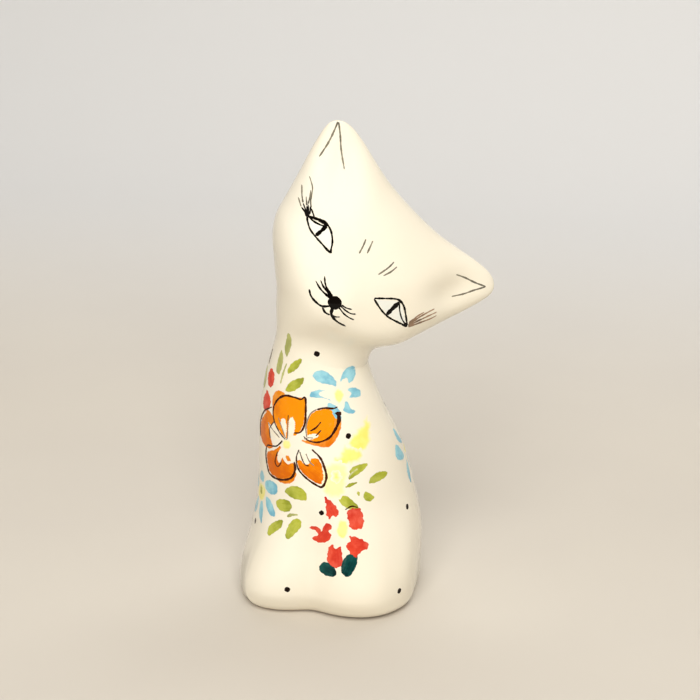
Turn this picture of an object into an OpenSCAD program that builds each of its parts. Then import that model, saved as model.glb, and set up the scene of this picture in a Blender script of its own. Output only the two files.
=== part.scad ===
// Seated ceramic cat with a turned and tilted head, slip-cast as a hollow body and a hollow head
// that are luted together at the neck. Millimetres. The body faces -Y, +Z is up, and the origin
// is the middle of the foot.

/* [Body] */
// Height of the neck joint above the table
body_h = 81; // [70:1:92]
// Half the body's width at its widest
body_half_w = 27; // [24:0.5:30]
// Half the body's depth at its widest
body_half_d = 29; // [26:0.5:32]
// Half the neck's width at the joint
neck_half_w = 14; // [12:0.5:15]
// How far the neck leans forward of the foot
neck_lean = 11; // [6:0.5:13]
// Wall of the casting
wall = 4; // [3:0.25:5]
// Diameter of the pour hole in the foot
pour_hole_d = 12; // [8:1:20]

/* [Head] */
// Ear tip to ear tip
head_w = 70; // [60:1:78]
// Crown to chin
head_h = 50; // [42:0.5:54]
// Nose side to back of the skull
head_d = 37; // [32:1:42]
// Tilt of the head towards the cat's left shoulder
head_tilt = 47; // [35:1:55]
// Turn of the head towards the cat's left
head_turn = 20; // [10:1:30]
// Height of the head's centre above the table
head_z = 105; // [102:1:108]

/* [Tail] */
// Thickness of the tail at its root
tail_root_d = 11; // [8:0.5:13]
// Thickness of the tail at its tip
tail_tip_d = 7; // [5:0.5:8]

/* [Hidden] */

glaze_white = [0.96, 0.93, 0.85];
biscuit = [0.86, 0.78, 0.66];

lute_t = 0.8;          // thickness of the slip between the two castings
neck_tilt = 17;        // slope of the neck joint towards the cat's left
neck_half_d = 13.8;    // half the neck's depth at the joint
neck_shift = -0.024;   // sideways shift of the neck joint, as a share of half the body's width
neck_stub_h = 16;      // how far the neck runs up into the head
neck_drift = 0.2;      // how far the neck moves to the cat's left for each millimetre it rises
neck_flare = 0.12;     // share by which the neck widens inside the head
neck_turn = 9;         // how much further the neck tips inside the head
neck_sides = 64;       // points round one ring of the neck
floor_t = 4.5;         // thickness of the foot's floor
body_sides = 96;       // points round one ring of the body
body_rings = 18;       // rings from the foot's rounding to the neck joint
cavity_rings = 11;     // rings of the hollow inside
tip_from = 36;         // height above which the body's rings tip towards the neck joint's slope
head_sides = 4;        // points between two knots of the head's outline
head_x = 7.1;          // the head's middle, out from the foot's towards the cat's left
skull_half_w = 31;     // half width and half height of the round part of the head
skull_half_h = 25;
hollow_half_w = 22;    // half width, half height and rise of the hollow inside the head
hollow_half_h = 18;
hollow_rise = 3;
head_rings = 14;       // rings from the head's rim to its middle, on each face
tail_rings = 30;       // rings along the tail
tail_sides = 20;       // points round one ring of the tail

// ---- small functions ----

function ease(t) = t <= 0 ? 0 : t >= 1 ? 1 : t * t * (3 - 2 * t);
function bell(d, width) = exp(-(d / width) * (d / width));
function mix(a, b, t) = a + (b - a) * t;
function unit(v) = v / norm(v);
function sum(list, i = 0) = i == len(list) ? 0 : list[i] + sum(list, i + 1);
function angle_gap(a, b) = let (d = (a - b) % 360) d > 180 ? d - 360 : d < -180 ? d + 360 : d;

// Slope of column c of a table at row i, from its neighbours
function slope(table, c, i) =
    let (a = max(i - 1, 0), b = min(i + 1, len(table) - 1))
    (table[b][c] - table[a][c]) / (table[b][0] - table[a][0]);

// Smooth curve through column c of a table whose column 0 rises
function along(table, c, x, i = 0) =
    i < len(table) - 2 && x > table[i + 1][0] ? along(table, c, x, i + 1) :
    let (h = table[i + 1][0] - table[i][0], t = (x - table[i][0]) / h,
         m0 = slope(table, c, i) * h, m1 = slope(table, c, i + 1) * h)
    (2 * t ^ 3 - 3 * t ^ 2 + 1) * table[i][c] + (t ^ 3 - 2 * t ^ 2 + t) * m0
    + (3 * t ^ 2 - 2 * t ^ 3) * table[i + 1][c] + (t ^ 3 - t ^ 2) * m1;

// Point at share t between knots b and c of a curve through a, b, c, d
function through(a, b, c, d, t) =
    0.5 * (2 * b + (c - a) * t + (2 * a - 5 * b + 4 * c - d) * t ^ 2
           + (3 * b - a - 3 * c + d) * t ^ 3);

// A closed solid from rings of equally many points, each end closed by a middle point
module skin(rings) {
    n = len(rings[0]);
    m = len(rings);
    function middle(ring) = [for (k = [0 : 2]) let (c = [for (p = ring) p[k]]) sum(c) / n];
    points = concat([for (ring = rings) each ring], [middle(rings[0]), middle(rings[m - 1])]);
    sides = [for (i = [0 : m - 2], j = [0 : n - 1])
        let (a = i * n + j, b = i * n + (j + 1) % n) each [[a, a + n, b + n], [a, b + n, b]]];
    first = [for (j = [0 : n - 1]) [m * n, j, (j + 1) % n]];
    last = [for (j = [0 : n - 1]) [m * n + 1, (m - 1) * n + (j + 1) % n, (m - 1) * n + j]];
    polyhedron(points, concat(sides, first, last), convexity = 8);
}

// ---- body ----

// Height, then half width, half depth, forward shift and sideways shift of the body there, as
// shares of the body's height, width, depth, lean and width
body_form = [
    [0.00, 1.020, 0.940, -0.23, -0.060],
    [0.10, 1.000, 1.000, -0.01, -0.025],
    [0.28, 0.945, 0.965, 0.00, 0.040],
    [0.48, 0.865, 0.840, 0.18, 0.035],
    [0.68, 0.790, 0.670, 0.55, 0.005],
    [0.85, 0.665, 0.540, 0.85, -0.020],
    [1.00, neck_half_w / body_half_w, neck_half_d / body_half_d, 1.00, neck_shift],
];
foot_round = 3.5;      // radius of the rounding round the foot

// How far a ring is pulled in by the foot's rounding
function foot_pull(z) = z >= foot_round ? 0 : foot_round - sqrt(foot_round ^ 2 - (foot_round - z) ^ 2);

// The modelling on the body: share by which the radius grows at angle a and height z. In order:
// the groove between the forelegs, the forelegs, the squareness of the foot, its fuller corner in
// front of the cat's left haunch, the haunches, the dips in front of them, and the chest
function body_relief(a, z) =
    let (front = angle_gap(a, 270), low = 1 - ease((z - 8) / 28))
    - 0.080 * bell(front, 13) * (1 - ease((z - 20) / 20))
    + 0.068 * (bell(front - 34, 18) + bell(front + 32, 18)) * low
    + 0.085 * sin(2 * a) ^ 2 * low
    + 0.090 * bell(angle_gap(a, 325), 20) * low
    + 0.030 * (bell(angle_gap(a, 350), 24) + bell(angle_gap(a, 190), 24)) * bell(z - 16, 14)
    - 0.022 * (bell(front - 52, 9) + bell(front + 52, 9)) * bell(z - 14, 14)
    + 0.030 * bell(front, 35) * bell(z - 46, 14);

// The point of the body's surface at angle a and height z, drawn in by inset and tipped towards
// the neck joint's slope
function body_point(a, z, inset) =
    let (s = z / body_h, pull = foot_pull(z) + inset, g = 1 + body_relief(a, z),
         tip = neck_tilt * ease((z - tip_from) / (body_h - tip_from)),
         x = (along(body_form, 1, s) * body_half_w - pull) * g * cos(a),
         y = (along(body_form, 2, s) * body_half_d - pull) * g * sin(a))
    [x * cos(tip) + along(body_form, 4, s) * body_half_w, y - along(body_form, 3, s) * neck_lean,
     z - x * sin(tip)];
function body_ring(z, inset) = [for (j = [0 : body_sides - 1]) body_point(360 * j / body_sides, z, inset)];

// Heights of the rings: close together round the foot, then evenly up to the joint
foot_steps = [0, 0.3, 1, 2, foot_round];
function body_outer() =
    [for (z = concat(foot_steps, [for (i = [1 : body_rings]) mix(foot_round, body_h, i / body_rings)]))
        body_ring(z, 0)];
module body_shell() {
    inner = [for (i = [cavity_rings : -1 : 0])
        let (z = mix(floor_t, body_h, i / cavity_rings), corner = max(0, 12 - z) / 4)
        body_ring(z, wall + corner)];
    color(glaze_white)
    difference() {
        skin(concat(body_outer(), inner));
        translate([0, 0, -1]) cylinder(d = pour_hole_d, h = floor_t + 2, $fn = 64);
    }
}

// ---- head ----

// Half of the head's outline, from the crown round the cat's left ear to the chin: sideways and
// upward places as shares of half the head's width and of its height
head_half_outline = [
    [0.000, 0.518],
    [0.285, 0.526],
    [0.505, 0.552],
    [0.695, 0.579],
    [0.845, 0.588],
    [0.940, 0.570],
    [0.993, 0.525],
    [0.991, 0.459],
    [0.945, 0.339],
    [0.875, 0.196],
    [0.810, 0.053],
    [0.754, -0.067],
    [0.658, -0.160],
    [0.510, -0.248],
    [0.314, -0.353],
    [0.000, -0.478],
];
head_knots = concat(
    [for (k = head_half_outline) k],
    [for (i = [len(head_half_outline) - 2 : -1 : 1])
        let (k = head_half_outline[i]) [-k[0], k[1]]]);

function head_rim() =
    let (n = len(head_knots))
    [for (i = [0 : n - 1], j = [0 : head_sides - 1])
        through(head_knots[(i + n - 1) % n], head_knots[i], head_knots[(i + 1) % n],
                head_knots[(i + 2) % n], j / head_sides)];

// The modelling on the face, in millimetres from the head's middle: how far the front stands
// forward there. In order: the muzzle, the cheeks, the eye hollows and the hollows of the ears
function face_relief(u, v) =
    3.4 * bell(norm([u, v + 9]), 8)
    + 1.3 * (bell(norm([u - 14, v + 10]), 8) + bell(norm([u + 14, v + 10]), 8))
    - 0.9 * (bell(norm([u - 15, v - 2]), 7) + bell(norm([u + 15, v - 2]), 7))
    - 3.2 * (ear_hollow(u, v) + ear_hollow(-u, v));
function ear_hollow(u, v) =
    let (du = u - 24, dv = v - 18, p = 0.6 * du + 0.8 * dv, q = 0.8 * du - 0.6 * dv)
    bell(p, 8.5) * bell(q, 5.5);

// Half the head's thickness at a place: full over the skull, falling away towards the ears
function head_half_d(u, v) =
    let (far = norm([u / skull_half_w, v / skull_half_h]))
    head_d / 2 / (1 + 0.3 * far ^ 2 + 0.3 * far ^ 5);

// One ring of the head at share s of the way from its middle to its rim, on its front or its back
function head_ring(rim, s, front) =
    [for (k = rim)
        let (u = k[0] * s * head_w / 2, v = k[1] * s * head_h, closing = sqrt(max(0, 1 - s ^ 5)),
             d = head_half_d(u, v) * closing)
        [u, front ? -d - face_relief(u, v) * closing : d, v]];

module head_form() {
    rim = head_rim();
    skin(concat(
        [for (i = [1 : head_rings]) head_ring(rim, sin(90 * i / head_rings), true)],
        [for (i = [head_rings - 1 : -1 : 1]) head_ring(rim, sin(90 * i / head_rings), false)]));
}

module head_place()
    translate([head_x, -neck_lean, head_z]) rotate([0, 0, head_turn]) rotate([0, head_tilt, 0])
        children();

// The neck above the joint, widening as it runs up into the head
module neck_stub(inset, low, high) {
    skin([for (i = [0 : 6]) neck_ring(mix(low, high, i / 6), inset)]);
}
function neck_ring(rise, inset) =
    let (t = rise / neck_stub_h, tip = neck_tilt + neck_turn * t, flare = 1 + neck_flare * t * t,
         hw = neck_half_w * flare - inset, hd = neck_half_d * flare - inset,
         middle = [neck_shift * body_half_w + neck_drift * rise, -neck_lean, body_h + rise])
    [for (j = [0 : neck_sides - 1])
        let (a = 360 * j / neck_sides, x = hw * cos(a), y = hd * sin(a))
        middle + [x * cos(tip), y, -x * sin(tip)]];

module head_shell() {
    color(glaze_white)
    difference() {
        union() {
            head_place() head_form();
            neck_stub(0, lute_t, neck_stub_h);
        }
        head_place() cavity();
        neck_stub(wall, -1, neck_stub_h + 1);
    }
}

// The hollow inside the head, a flattened ball
module cavity() {
    sides = 48;
    skin([for (b = [75 : -15 : -75])
        [for (j = [0 : sides - 1]) let (a = 360 * j / sides)
            [hollow_half_w * cos(b) * sin(a), -(head_d / 2 - wall) * sin(b),
             hollow_rise + hollow_half_h * cos(b) * cos(a)]]]);
}

module neck_lute() {
    color(biscuit)
    difference() {
        neck_stub(0, 0, lute_t);
        neck_stub(wall, -0.1, lute_t + 0.1);
    }
}

// ---- tail ----

// A roll of clay that leaves the middle of the back, lies round the foot on the cat's right and
// ends in a rounded tip. t runs from 0 at the root to 1 at the tip.
function tail_angle(t) = mix(76, 156, t);
function tail_height(t) = mix(11, 6.2, ease(t / 0.35)) + 3 * ease((t - 0.65) / 0.35);
function tail_radius(t) =
    mix(tail_root_d, tail_tip_d, t) / 2 * (t < 0.93 ? 1 : sqrt(max(0.02, 1 - ((t - 0.93) / 0.07) ^ 2)));
function tail_middle(t) =
    body_point(tail_angle(t), tail_height(t), -tail_radius(t) * mix(-1, 0.2, ease(t / 0.2)));
module tail_roll() {
    skin([for (i = [0 : tail_rings])
        let (t = i / tail_rings, step = 0.5 / tail_rings,
             run = unit(tail_middle(min(1, t + step)) - tail_middle(max(0, t - step))),
             side = unit(cross(run, [0, 0, 1])), lift = cross(side, run))
        [for (j = [0 : tail_sides - 1]) let (b = 360 * j / tail_sides)
            tail_middle(t) + tail_radius(t) * (cos(b) * side - sin(b) * lift)]]);
}
module tail() {
    color(glaze_white)
    difference() {
        tail_roll();
        skin(body_outer());
    }
}

body_shell();
neck_lute();
head_shell();
tail();
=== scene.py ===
"""Looks of the ceramic cat: a glazed, hand-painted slip casting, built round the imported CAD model.

The cat's form is a field worked out from the CAD model's sizes, so that the skin, the paint and the
tail all lie on one smooth surface. Lengths are millimetres until a mesh is made, then metres.
"""
import math

import bpy
import numpy as np
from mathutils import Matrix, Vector, geometry


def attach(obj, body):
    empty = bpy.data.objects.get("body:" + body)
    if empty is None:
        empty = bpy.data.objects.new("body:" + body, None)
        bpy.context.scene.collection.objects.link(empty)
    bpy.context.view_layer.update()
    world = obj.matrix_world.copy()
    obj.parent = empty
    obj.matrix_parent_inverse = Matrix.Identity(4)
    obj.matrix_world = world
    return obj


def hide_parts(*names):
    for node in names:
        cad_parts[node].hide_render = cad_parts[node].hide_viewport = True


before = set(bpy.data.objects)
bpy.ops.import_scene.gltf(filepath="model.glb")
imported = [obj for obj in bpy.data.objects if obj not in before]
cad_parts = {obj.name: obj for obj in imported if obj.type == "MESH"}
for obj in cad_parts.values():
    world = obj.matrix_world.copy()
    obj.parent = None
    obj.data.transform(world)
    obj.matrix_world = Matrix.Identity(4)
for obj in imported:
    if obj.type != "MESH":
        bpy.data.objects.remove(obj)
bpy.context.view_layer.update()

MM = 0.001
ROOT = "root"


# ---- the cat's form, in millimetres, with the sizes of the CAD model ----

BODY_H, BODY_W, BODY_D = 81.0, 27.0, 29.0          # joint height, half width, half depth
NECK_W, NECK_D, NECK_LEAN = 14.0, 13.8, 11.0       # half sizes of the neck, and its lean
NECK_SHIFT = -0.024                                 # sideways, as a share of BODY_W
NECK_TILT = 17.0                                    # slope of the neck joint, in degrees
NECK_TOP, NECK_TURN = 16.0, 9.0                     # the neck above the joint: height, further slope,
NECK_FLARE, NECK_DRIFT = 0.12, 0.2                  # widening, and sideways drift per millimetre
TIP_FROM = 36.0                                     # height where the rings start to tip
FOOT_ROUND = 3.5                                    # radius of the foot's edge
FOOT_STEPS = (0, 0.3, 1, 2)                         # heights of the rings round it
NECK_ROUND = 0.7                                    # rounding of the neck's hidden top, as a share of it
HEAD_W, HEAD_H, HEAD_D = 70.0, 50.0, 37.0           # between the ear tips, crown to chin, front to back
HEAD_AT = np.array([7.1, -NECK_LEAN, 105.0])        # the head's middle
HEAD_TURN, HEAD_TILT = np.radians(20.0), np.radians(47.0)
SKULL_W, SKULL_H = 31.0, 25.0                       # how far across and up the head stays thick
RIM_POWER = 5                                       # how late the head's thickness closes to its rim
FILLET = 7.5                                        # width of the blend under the head
LONGEST_MOVE = 1.5                                  # of a point on its way to the surface, each round
STEEPEST = 0.25                                     # least lean of the surface that a slide allows for

# Height as a share of BODY_H, then half width, half depth, forward and sideways shift as shares
BODY_FORM = np.array([
    [0.00, 1.020, 0.940, -0.23, -0.060],
    [0.10, 1.000, 1.000, -0.01, -0.025],
    [0.28, 0.945, 0.965, 0.00, 0.040],
    [0.48, 0.865, 0.840, 0.18, 0.035],
    [0.68, 0.790, 0.670, 0.55, 0.005],
    [0.85, 0.665, 0.540, 0.85, -0.020],
    [1.00, NECK_W / BODY_W, NECK_D / BODY_D, 1.00, NECK_SHIFT],
])

# Half of the head's outline from crown to chin, as shares of half its width and of its height
HEAD_OUTLINE = [
    (0.000, 0.518), (0.285, 0.526), (0.505, 0.552), (0.695, 0.579), (0.845, 0.588), (0.940, 0.570),
    (0.993, 0.525), (0.991, 0.459), (0.945, 0.339), (0.875, 0.196), (0.810, 0.053), (0.754, -0.067),
    (0.658, -0.160), (0.510, -0.248), (0.314, -0.353), (0.000, -0.478),
]


def ease(t):
    """Smooth step from 0 to 1."""
    t = np.clip(t, 0.0, 1.0)
    return t * t * (3 - 2 * t)


def bell(d, width):
    """Smooth bump, 1 at d = 0 and faded out by about twice its width."""
    return np.exp(-(d / width) ** 2)


def along(table, column, x):
    """Smooth curve through a column of a table whose column 0 rises."""
    n = len(table)
    low = np.maximum(np.arange(n) - 1, 0)
    high = np.minimum(np.arange(n) + 1, n - 1)
    slope = (table[high, column] - table[low, column]) / (table[high, 0] - table[low, 0])
    x = np.clip(x, table[0, 0], table[-1, 0])
    i = np.clip(np.searchsorted(table[:, 0], x) - 1, 0, n - 2)
    h = table[i + 1, 0] - table[i, 0]
    t = (x - table[i, 0]) / h
    return ((2 * t**3 - 3 * t**2 + 1) * table[i, column] + (t**3 - 2 * t**2 + t) * h * slope[i]
            + (3 * t**2 - 2 * t**3) * table[i + 1, column] + (t**3 - t**2) * h * slope[i + 1])


def through(a, b, c, d, t):
    """Point at share t between b and c of a smooth curve through a, b, c and d."""
    return 0.5 * (2 * b + (c - a) * t + (2 * a - 5 * b + 4 * c - d) * t**2
                  + (3 * b - a - 3 * c + d) * t**3)


def head_rim(steps=12):
    """The head's outline as polar angle and radius in its own plane."""
    knots = HEAD_OUTLINE + [(-u, v) for u, v in HEAD_OUTLINE[-2:0:-1]]
    knots = np.array(knots) * [HEAD_W / 2, HEAD_H]
    n = len(knots)
    rim = np.array([through(knots[i - 1], knots[i], knots[(i + 1) % n], knots[(i + 2) % n], j / steps)
                    for i in range(n) for j in range(steps)])
    angle = np.arctan2(rim[:, 1], rim[:, 0])
    order = np.argsort(angle)
    return angle[order], np.hypot(rim[:, 0], rim[:, 1])[order]


RIM_ANGLE, RIM_RADIUS = head_rim()


def body_relief(a, z):
    """Share by which the body's radius grows at angle a, in degrees, and height z. In order: the
    groove between the forelegs, the forelegs, the squareness of the foot, its fuller corner in front
    of the cat's left haunch, the haunches, the dips in front of them, and the chest."""
    def gap(b):
        return (a - b + 180) % 360 - 180
    front, low = gap(270), 1 - ease((z - 8) / 28)
    return (-0.080 * bell(front, 13) * (1 - ease((z - 20) / 20))
            + 0.068 * (bell(front - 34, 18) + bell(front + 32, 18)) * low
            + 0.085 * np.sin(np.radians(2 * a)) ** 2 * low
            + 0.090 * bell(gap(325), 20) * low
            + 0.030 * (bell(gap(350), 24) + bell(gap(190), 24)) * bell(z - 16, 14)
            - 0.022 * (bell(front - 52, 9) + bell(front + 52, 9)) * bell(z - 14, 14)
            + 0.030 * bell(front, 35) * bell(z - 46, 14))


def body_ring(ring):
    """Half width, half depth, middle x and y, and tip of the body's or neck's ring at a height."""
    rise = np.clip(ring - BODY_H, 0, NECK_TOP + 4)
    t = rise / NECK_TOP
    flare = 1 + NECK_FLARE * t * t
    low = np.clip(ring, 0, FOOT_ROUND)
    pull = FOOT_ROUND - np.sqrt(FOOT_ROUND**2 - (FOOT_ROUND - low) ** 2)
    share = ring / BODY_H
    half_w = along(BODY_FORM, 1, share) * BODY_W * flare - pull
    half_d = along(BODY_FORM, 2, share) * BODY_D * flare - pull
    tip = np.radians(NECK_TILT * ease((ring - TIP_FROM) / (BODY_H - TIP_FROM)) + NECK_TURN * t)
    mid_x = along(BODY_FORM, 4, share) * BODY_W + NECK_DRIFT * rise
    return half_w, half_d, mid_x, -along(BODY_FORM, 3, share) * NECK_LEAN, tip


def body_point(angle, ring, inset=0.0):
    """Point of the body's surface at an angle in degrees and a ring height, drawn in by inset."""
    angle, ring = np.asarray(angle, float), np.asarray(ring, float)
    half_w, half_d, mid_x, mid_y, tip = body_ring(ring)
    grow = 1 + body_relief(angle, ring)
    x = (half_w - inset) * grow * np.cos(np.radians(angle))
    y = (half_d - inset) * grow * np.sin(np.radians(angle))
    return np.stack([mid_x + x * np.cos(tip), mid_y + y, ring - x * np.sin(tip)], -1)


def body_field(p):
    """Below 0 inside the body and neck, 0 on their surface."""
    x, y, z = p[:, 0], p[:, 1], p[:, 2]
    ring = z.copy()
    for _ in range(6):
        half_w, half_d, mid_x, mid_y, tip = body_ring(ring)
        ring = z + (x - mid_x) * np.tan(tip)
    half_w, half_d, mid_x, mid_y, tip = body_ring(ring)
    a, b = (x - mid_x) / np.cos(tip) / half_w, (y - mid_y) / half_d
    side = np.hypot(a, b) / (1 + body_relief(np.degrees(np.arctan2(b, a)), ring)) - 1
    top = (ring - BODY_H - NECK_TOP) / NECK_W
    rounding = np.clip(NECK_ROUND - np.abs(side - top), 0, None) ** 2 / NECK_ROUND / 4
    return np.maximum(side, top) + rounding


def head_axes():
    """Rows: the head's sideways, backward and upward directions."""
    c, s = np.cos(HEAD_TURN), np.sin(HEAD_TURN)
    turn = np.array([[c, -s, 0], [s, c, 0], [0, 0, 1]])
    c, s = np.cos(HEAD_TILT), np.sin(HEAD_TILT)
    tilt = np.array([[c, 0, s], [0, 1, 0], [-s, 0, c]])
    return (turn @ tilt).T


HEAD_AXES = head_axes()


def ear_hollow(u, v):
    """The hollow in front of the ear on the side where u is above 0."""
    along_ear, across_ear = 0.6 * (u - 24) + 0.8 * (v - 18), 0.8 * (u - 24) - 0.6 * (v - 18)
    return bell(along_ear, 8.5) * bell(across_ear, 5.5)


def face_relief(u, v):
    """How far the face stands forward at a place on it. In order: the muzzle, the cheeks, the eye
    hollows and the hollows of the ears."""
    return (3.4 * bell(np.hypot(u, v + 9), 8)
            + 1.3 * (bell(np.hypot(u - 14, v + 10), 8) + bell(np.hypot(u + 14, v + 10), 8))
            - 0.9 * (bell(np.hypot(u - 15, v - 2), 7) + bell(np.hypot(u + 15, v - 2), 7))
            - 3.2 * (ear_hollow(u, v) + ear_hollow(-u, v)))


def head_half_d(u, v):
    """Half the head's thickness at a place on it, less towards the ears."""
    far = np.hypot(u / SKULL_W, v / SKULL_H)
    return HEAD_D / 2 / (1 + 0.3 * far**2 + 0.3 * far**5)


def head_share(u, v):
    """Share of the way from the head's middle to its rim."""
    radius = np.interp(np.arctan2(v, u), RIM_ANGLE, RIM_RADIUS, period=2 * np.pi)
    return np.hypot(u, v) / radius


def head_field(p):
    """Below 0 inside the head, 0 on its surface."""
    u, back, v = HEAD_AXES @ (p - HEAD_AT).T
    depth = head_half_d(u, v) + np.where(back < 0, face_relief(u, v), 0)
    return (back / depth) ** 2 + head_share(u, v) ** RIM_POWER - 1


def face_point(u, v):
    """Point of the front of the head at a place on it."""
    u, v = np.asarray(u, float), np.asarray(v, float)
    closing = np.sqrt(np.clip(1 - head_share(u, v) ** RIM_POWER, 0, None))
    back = -(head_half_d(u, v) + face_relief(u, v)) * closing
    return np.stack([u, back, v], -1) @ HEAD_AXES + HEAD_AT


def distance(field, p, step=0.02):
    """About how far p lies outside the surface of a field, and the outward direction there."""
    value = field(p)
    grad = np.stack([field(p + d) - field(p - d) for d in np.eye(3) * step], -1) / (2 * step)
    size = np.linalg.norm(grad, axis=1) + 1e-9
    return value / size, grad / size[:, None]


def skin(p):
    """Distance outside the whole cat, head and body blended, and the outward direction."""
    body, body_out = distance(body_field, p)
    head, head_out = distance(head_field, p)
    blend = np.clip(1 - np.abs(body - head) / FILLET, 0, None)
    share = np.where(body < head, 1 - blend**2 / 2, blend**2 / 2)[:, None]
    out = share * body_out + (1 - share) * head_out
    near = np.minimum(body, head) - blend**3 * FILLET / 6
    return near, out / np.linalg.norm(out, axis=1)[:, None]


def settle(p, rounds=4):
    """Moves points onto the cat's surface; returns them with the outward directions there."""
    p = np.array(p, float)
    for _ in range(rounds):
        off, out = skin(p)
        p -= np.clip(off, -LONGEST_MOVE, LONGEST_MOVE)[:, None] * out
    return p, skin(p)[1]


def slide(p, way, rounds, longest=LONGEST_MOVE):
    """Moves points onto the cat's surface along one direction; returns the outward directions too."""
    for _ in range(rounds):
        off, out = skin(p)
        p = p - np.clip(off / np.clip(out @ way, STEEPEST, None), -longest, longest)[:, None] * way
    return p, skin(p)[1]


# ---- making meshes ----

def new_piece(name, points, faces, materials, slot, smooth=True):
    """A mesh object from points in millimetres. With a slot it is a piece, and rides on the cat's one
    body; without one it is only worked with."""
    mesh = bpy.data.meshes.new(name)
    mesh.from_pydata((np.asarray(points, float) * MM).tolist(), [], faces)
    mesh.update()
    for material in materials:
        mesh.materials.append(material)
    mesh.polygons.foreach_set("use_smooth", [smooth] * len(mesh.polygons))
    piece = bpy.data.objects.new(name, mesh)
    bpy.context.scene.collection.objects.link(piece)
    if slot:
        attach(piece, ROOT)
    return piece


def ring_faces(rings, sides):
    """Faces of a closed skin of rings, each end closed by a middle point added after the rings."""
    faces = []
    for i in range(rings - 1):
        for j in range(sides):
            a, b = i * sides + j, i * sides + (j + 1) % sides
            faces.append((a, b, b + sides, a + sides))
    first, last = rings * sides, rings * sides + 1
    top = (rings - 1) * sides
    for j in range(sides):
        k = (j + 1) % sides
        faces.append((first, k, j))
        faces.append((last, top + j, top + k))
    return faces


def ring_skin(rings):
    """Points and faces of a closed skin from an array of rings."""
    rings = np.asarray(rings)
    points = np.concatenate([rings.reshape(-1, 3), rings[:1].mean(1), rings[-1:].mean(1)])
    return points, ring_faces(len(rings), rings.shape[1])


def body_tube(low, high, rings, sides, inset=0.0):
    """The body and neck between two ring heights as a closed skin, drawn in by inset."""
    angles = np.arange(sides) * 360.0 / sides
    heights = np.linspace(low, high, rings)
    if low < FOOT_ROUND and inset == 0:
        heights = np.concatenate([FOOT_STEPS, np.linspace(FOOT_ROUND, high, rings)])
    return ring_skin([body_point(angles, np.full(sides, h), inset) for h in heights])


def head_lens(rings=30, sides=120):
    """The head as a closed skin from the middle of the face over the rim to the back."""
    angle = np.linspace(0, -2 * np.pi, sides, endpoint=False)
    rim = np.interp(angle, RIM_ANGLE, RIM_RADIUS, period=2 * np.pi)
    skins = []
    for k in [*range(1, rings + 1), *range(rings - 1, 0, -1)]:
        share = math.sin(math.pi / 2 * k / rings)
        u, v = rim * share * np.cos(angle), rim * share * np.sin(angle)
        closing = math.sqrt(max(0.0, 1 - share**RIM_POWER))
        depth = head_half_d(u, v) * closing
        front = len(skins) < rings
        back = -(depth + face_relief(u, v) * closing) if front else depth
        skins.append(np.stack([u, back, v], -1) @ HEAD_AXES + HEAD_AT)
    return ring_skin(skins)


def ball_skin(half, rise, rings=24, sides=64):
    """A flattened ball in the head's own directions, as a closed skin."""
    angle = np.linspace(0, 2 * np.pi, sides, endpoint=False)
    skins = []
    for k in range(1, rings):
        b = math.pi / 2 - math.pi * k / rings
        skins.append(np.stack([half[0] * math.cos(b) * np.sin(angle),
                               np.full(sides, -half[1] * math.sin(b)),
                               rise + half[2] * math.cos(b) * np.cos(angle)], -1) @ HEAD_AXES + HEAD_AT)
    return ring_skin(skins)


def merged(*skins):
    """Several skins as one list of points and one of faces."""
    points, faces, start = [], [], 0
    for p, f in skins:
        points.append(p)
        faces += [tuple(i + start for i in face) for face in f]
        start += len(p)
    return np.concatenate(points), faces


def modified(piece):
    """Replaces a piece's mesh by what its modifiers make of it."""
    mesh = bpy.data.meshes.new_from_object(piece.evaluated_get(bpy.context.evaluated_depsgraph_get()))
    piece.modifiers.clear()
    old, piece.data = piece.data, mesh
    bpy.data.meshes.remove(old)


def cut(piece, tool, operation):
    """Cuts a piece with a tool object by a boolean, and takes the tool's material on the cut faces."""
    change = piece.modifiers.new("cut", "BOOLEAN")
    change.operation = operation
    change.solver = "MANIFOLD"
    change.object = tool
    change.material_mode = "TRANSFER"
    modified(piece)


def read(items, key, size, kind=float):
    """One property of every item of a mesh, size numbers each, as an array."""
    values = np.empty(len(items) * size, kind)
    items.foreach_get(key, values)
    return values.reshape(-1, size) if size > 1 else values


def get_points(mesh):
    return read(mesh.vertices, "co", 3) / MM


def set_points(mesh, points):
    mesh.vertices.foreach_set("co", (points * MM).ravel())
    mesh.update()


# ---- the skin ----

VOXEL = 0.6      # size of the skin's faces
RELAX_ROUNDS, RELAX_SHARE = 4, 0.6      # how often and how far a point moves amid its neighbours
WALL, FLOOR = 4.0, 4.5                  # thickness of the casting's wall and foot
POUR_HOLE = 6.0                         # radius
LUTE = 0.8                              # thickness of the slip between the castings
SKULL_HOLLOW = (22, HEAD_D / 2 - WALL, 18)      # half sizes of the hollow in the head
HOLLOW_RISE = 3                         # how far it sits above the head's middle
CUT_DEPTH, CUT_REACH = 120, 90          # depth and half width of a cutting tool, past the whole cat
ON_SKIN = 0.05                          # points this near the field count as lying on it
FOOT_BELOW, FOOT_INSIDE = 0.5, 0.6      # points lower and farther in than these are the flat foot's
SHARP_ANGLE = 40                        # degrees
FACING = 0.6                            # cosine of a face's greatest turn from the field's direction


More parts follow.
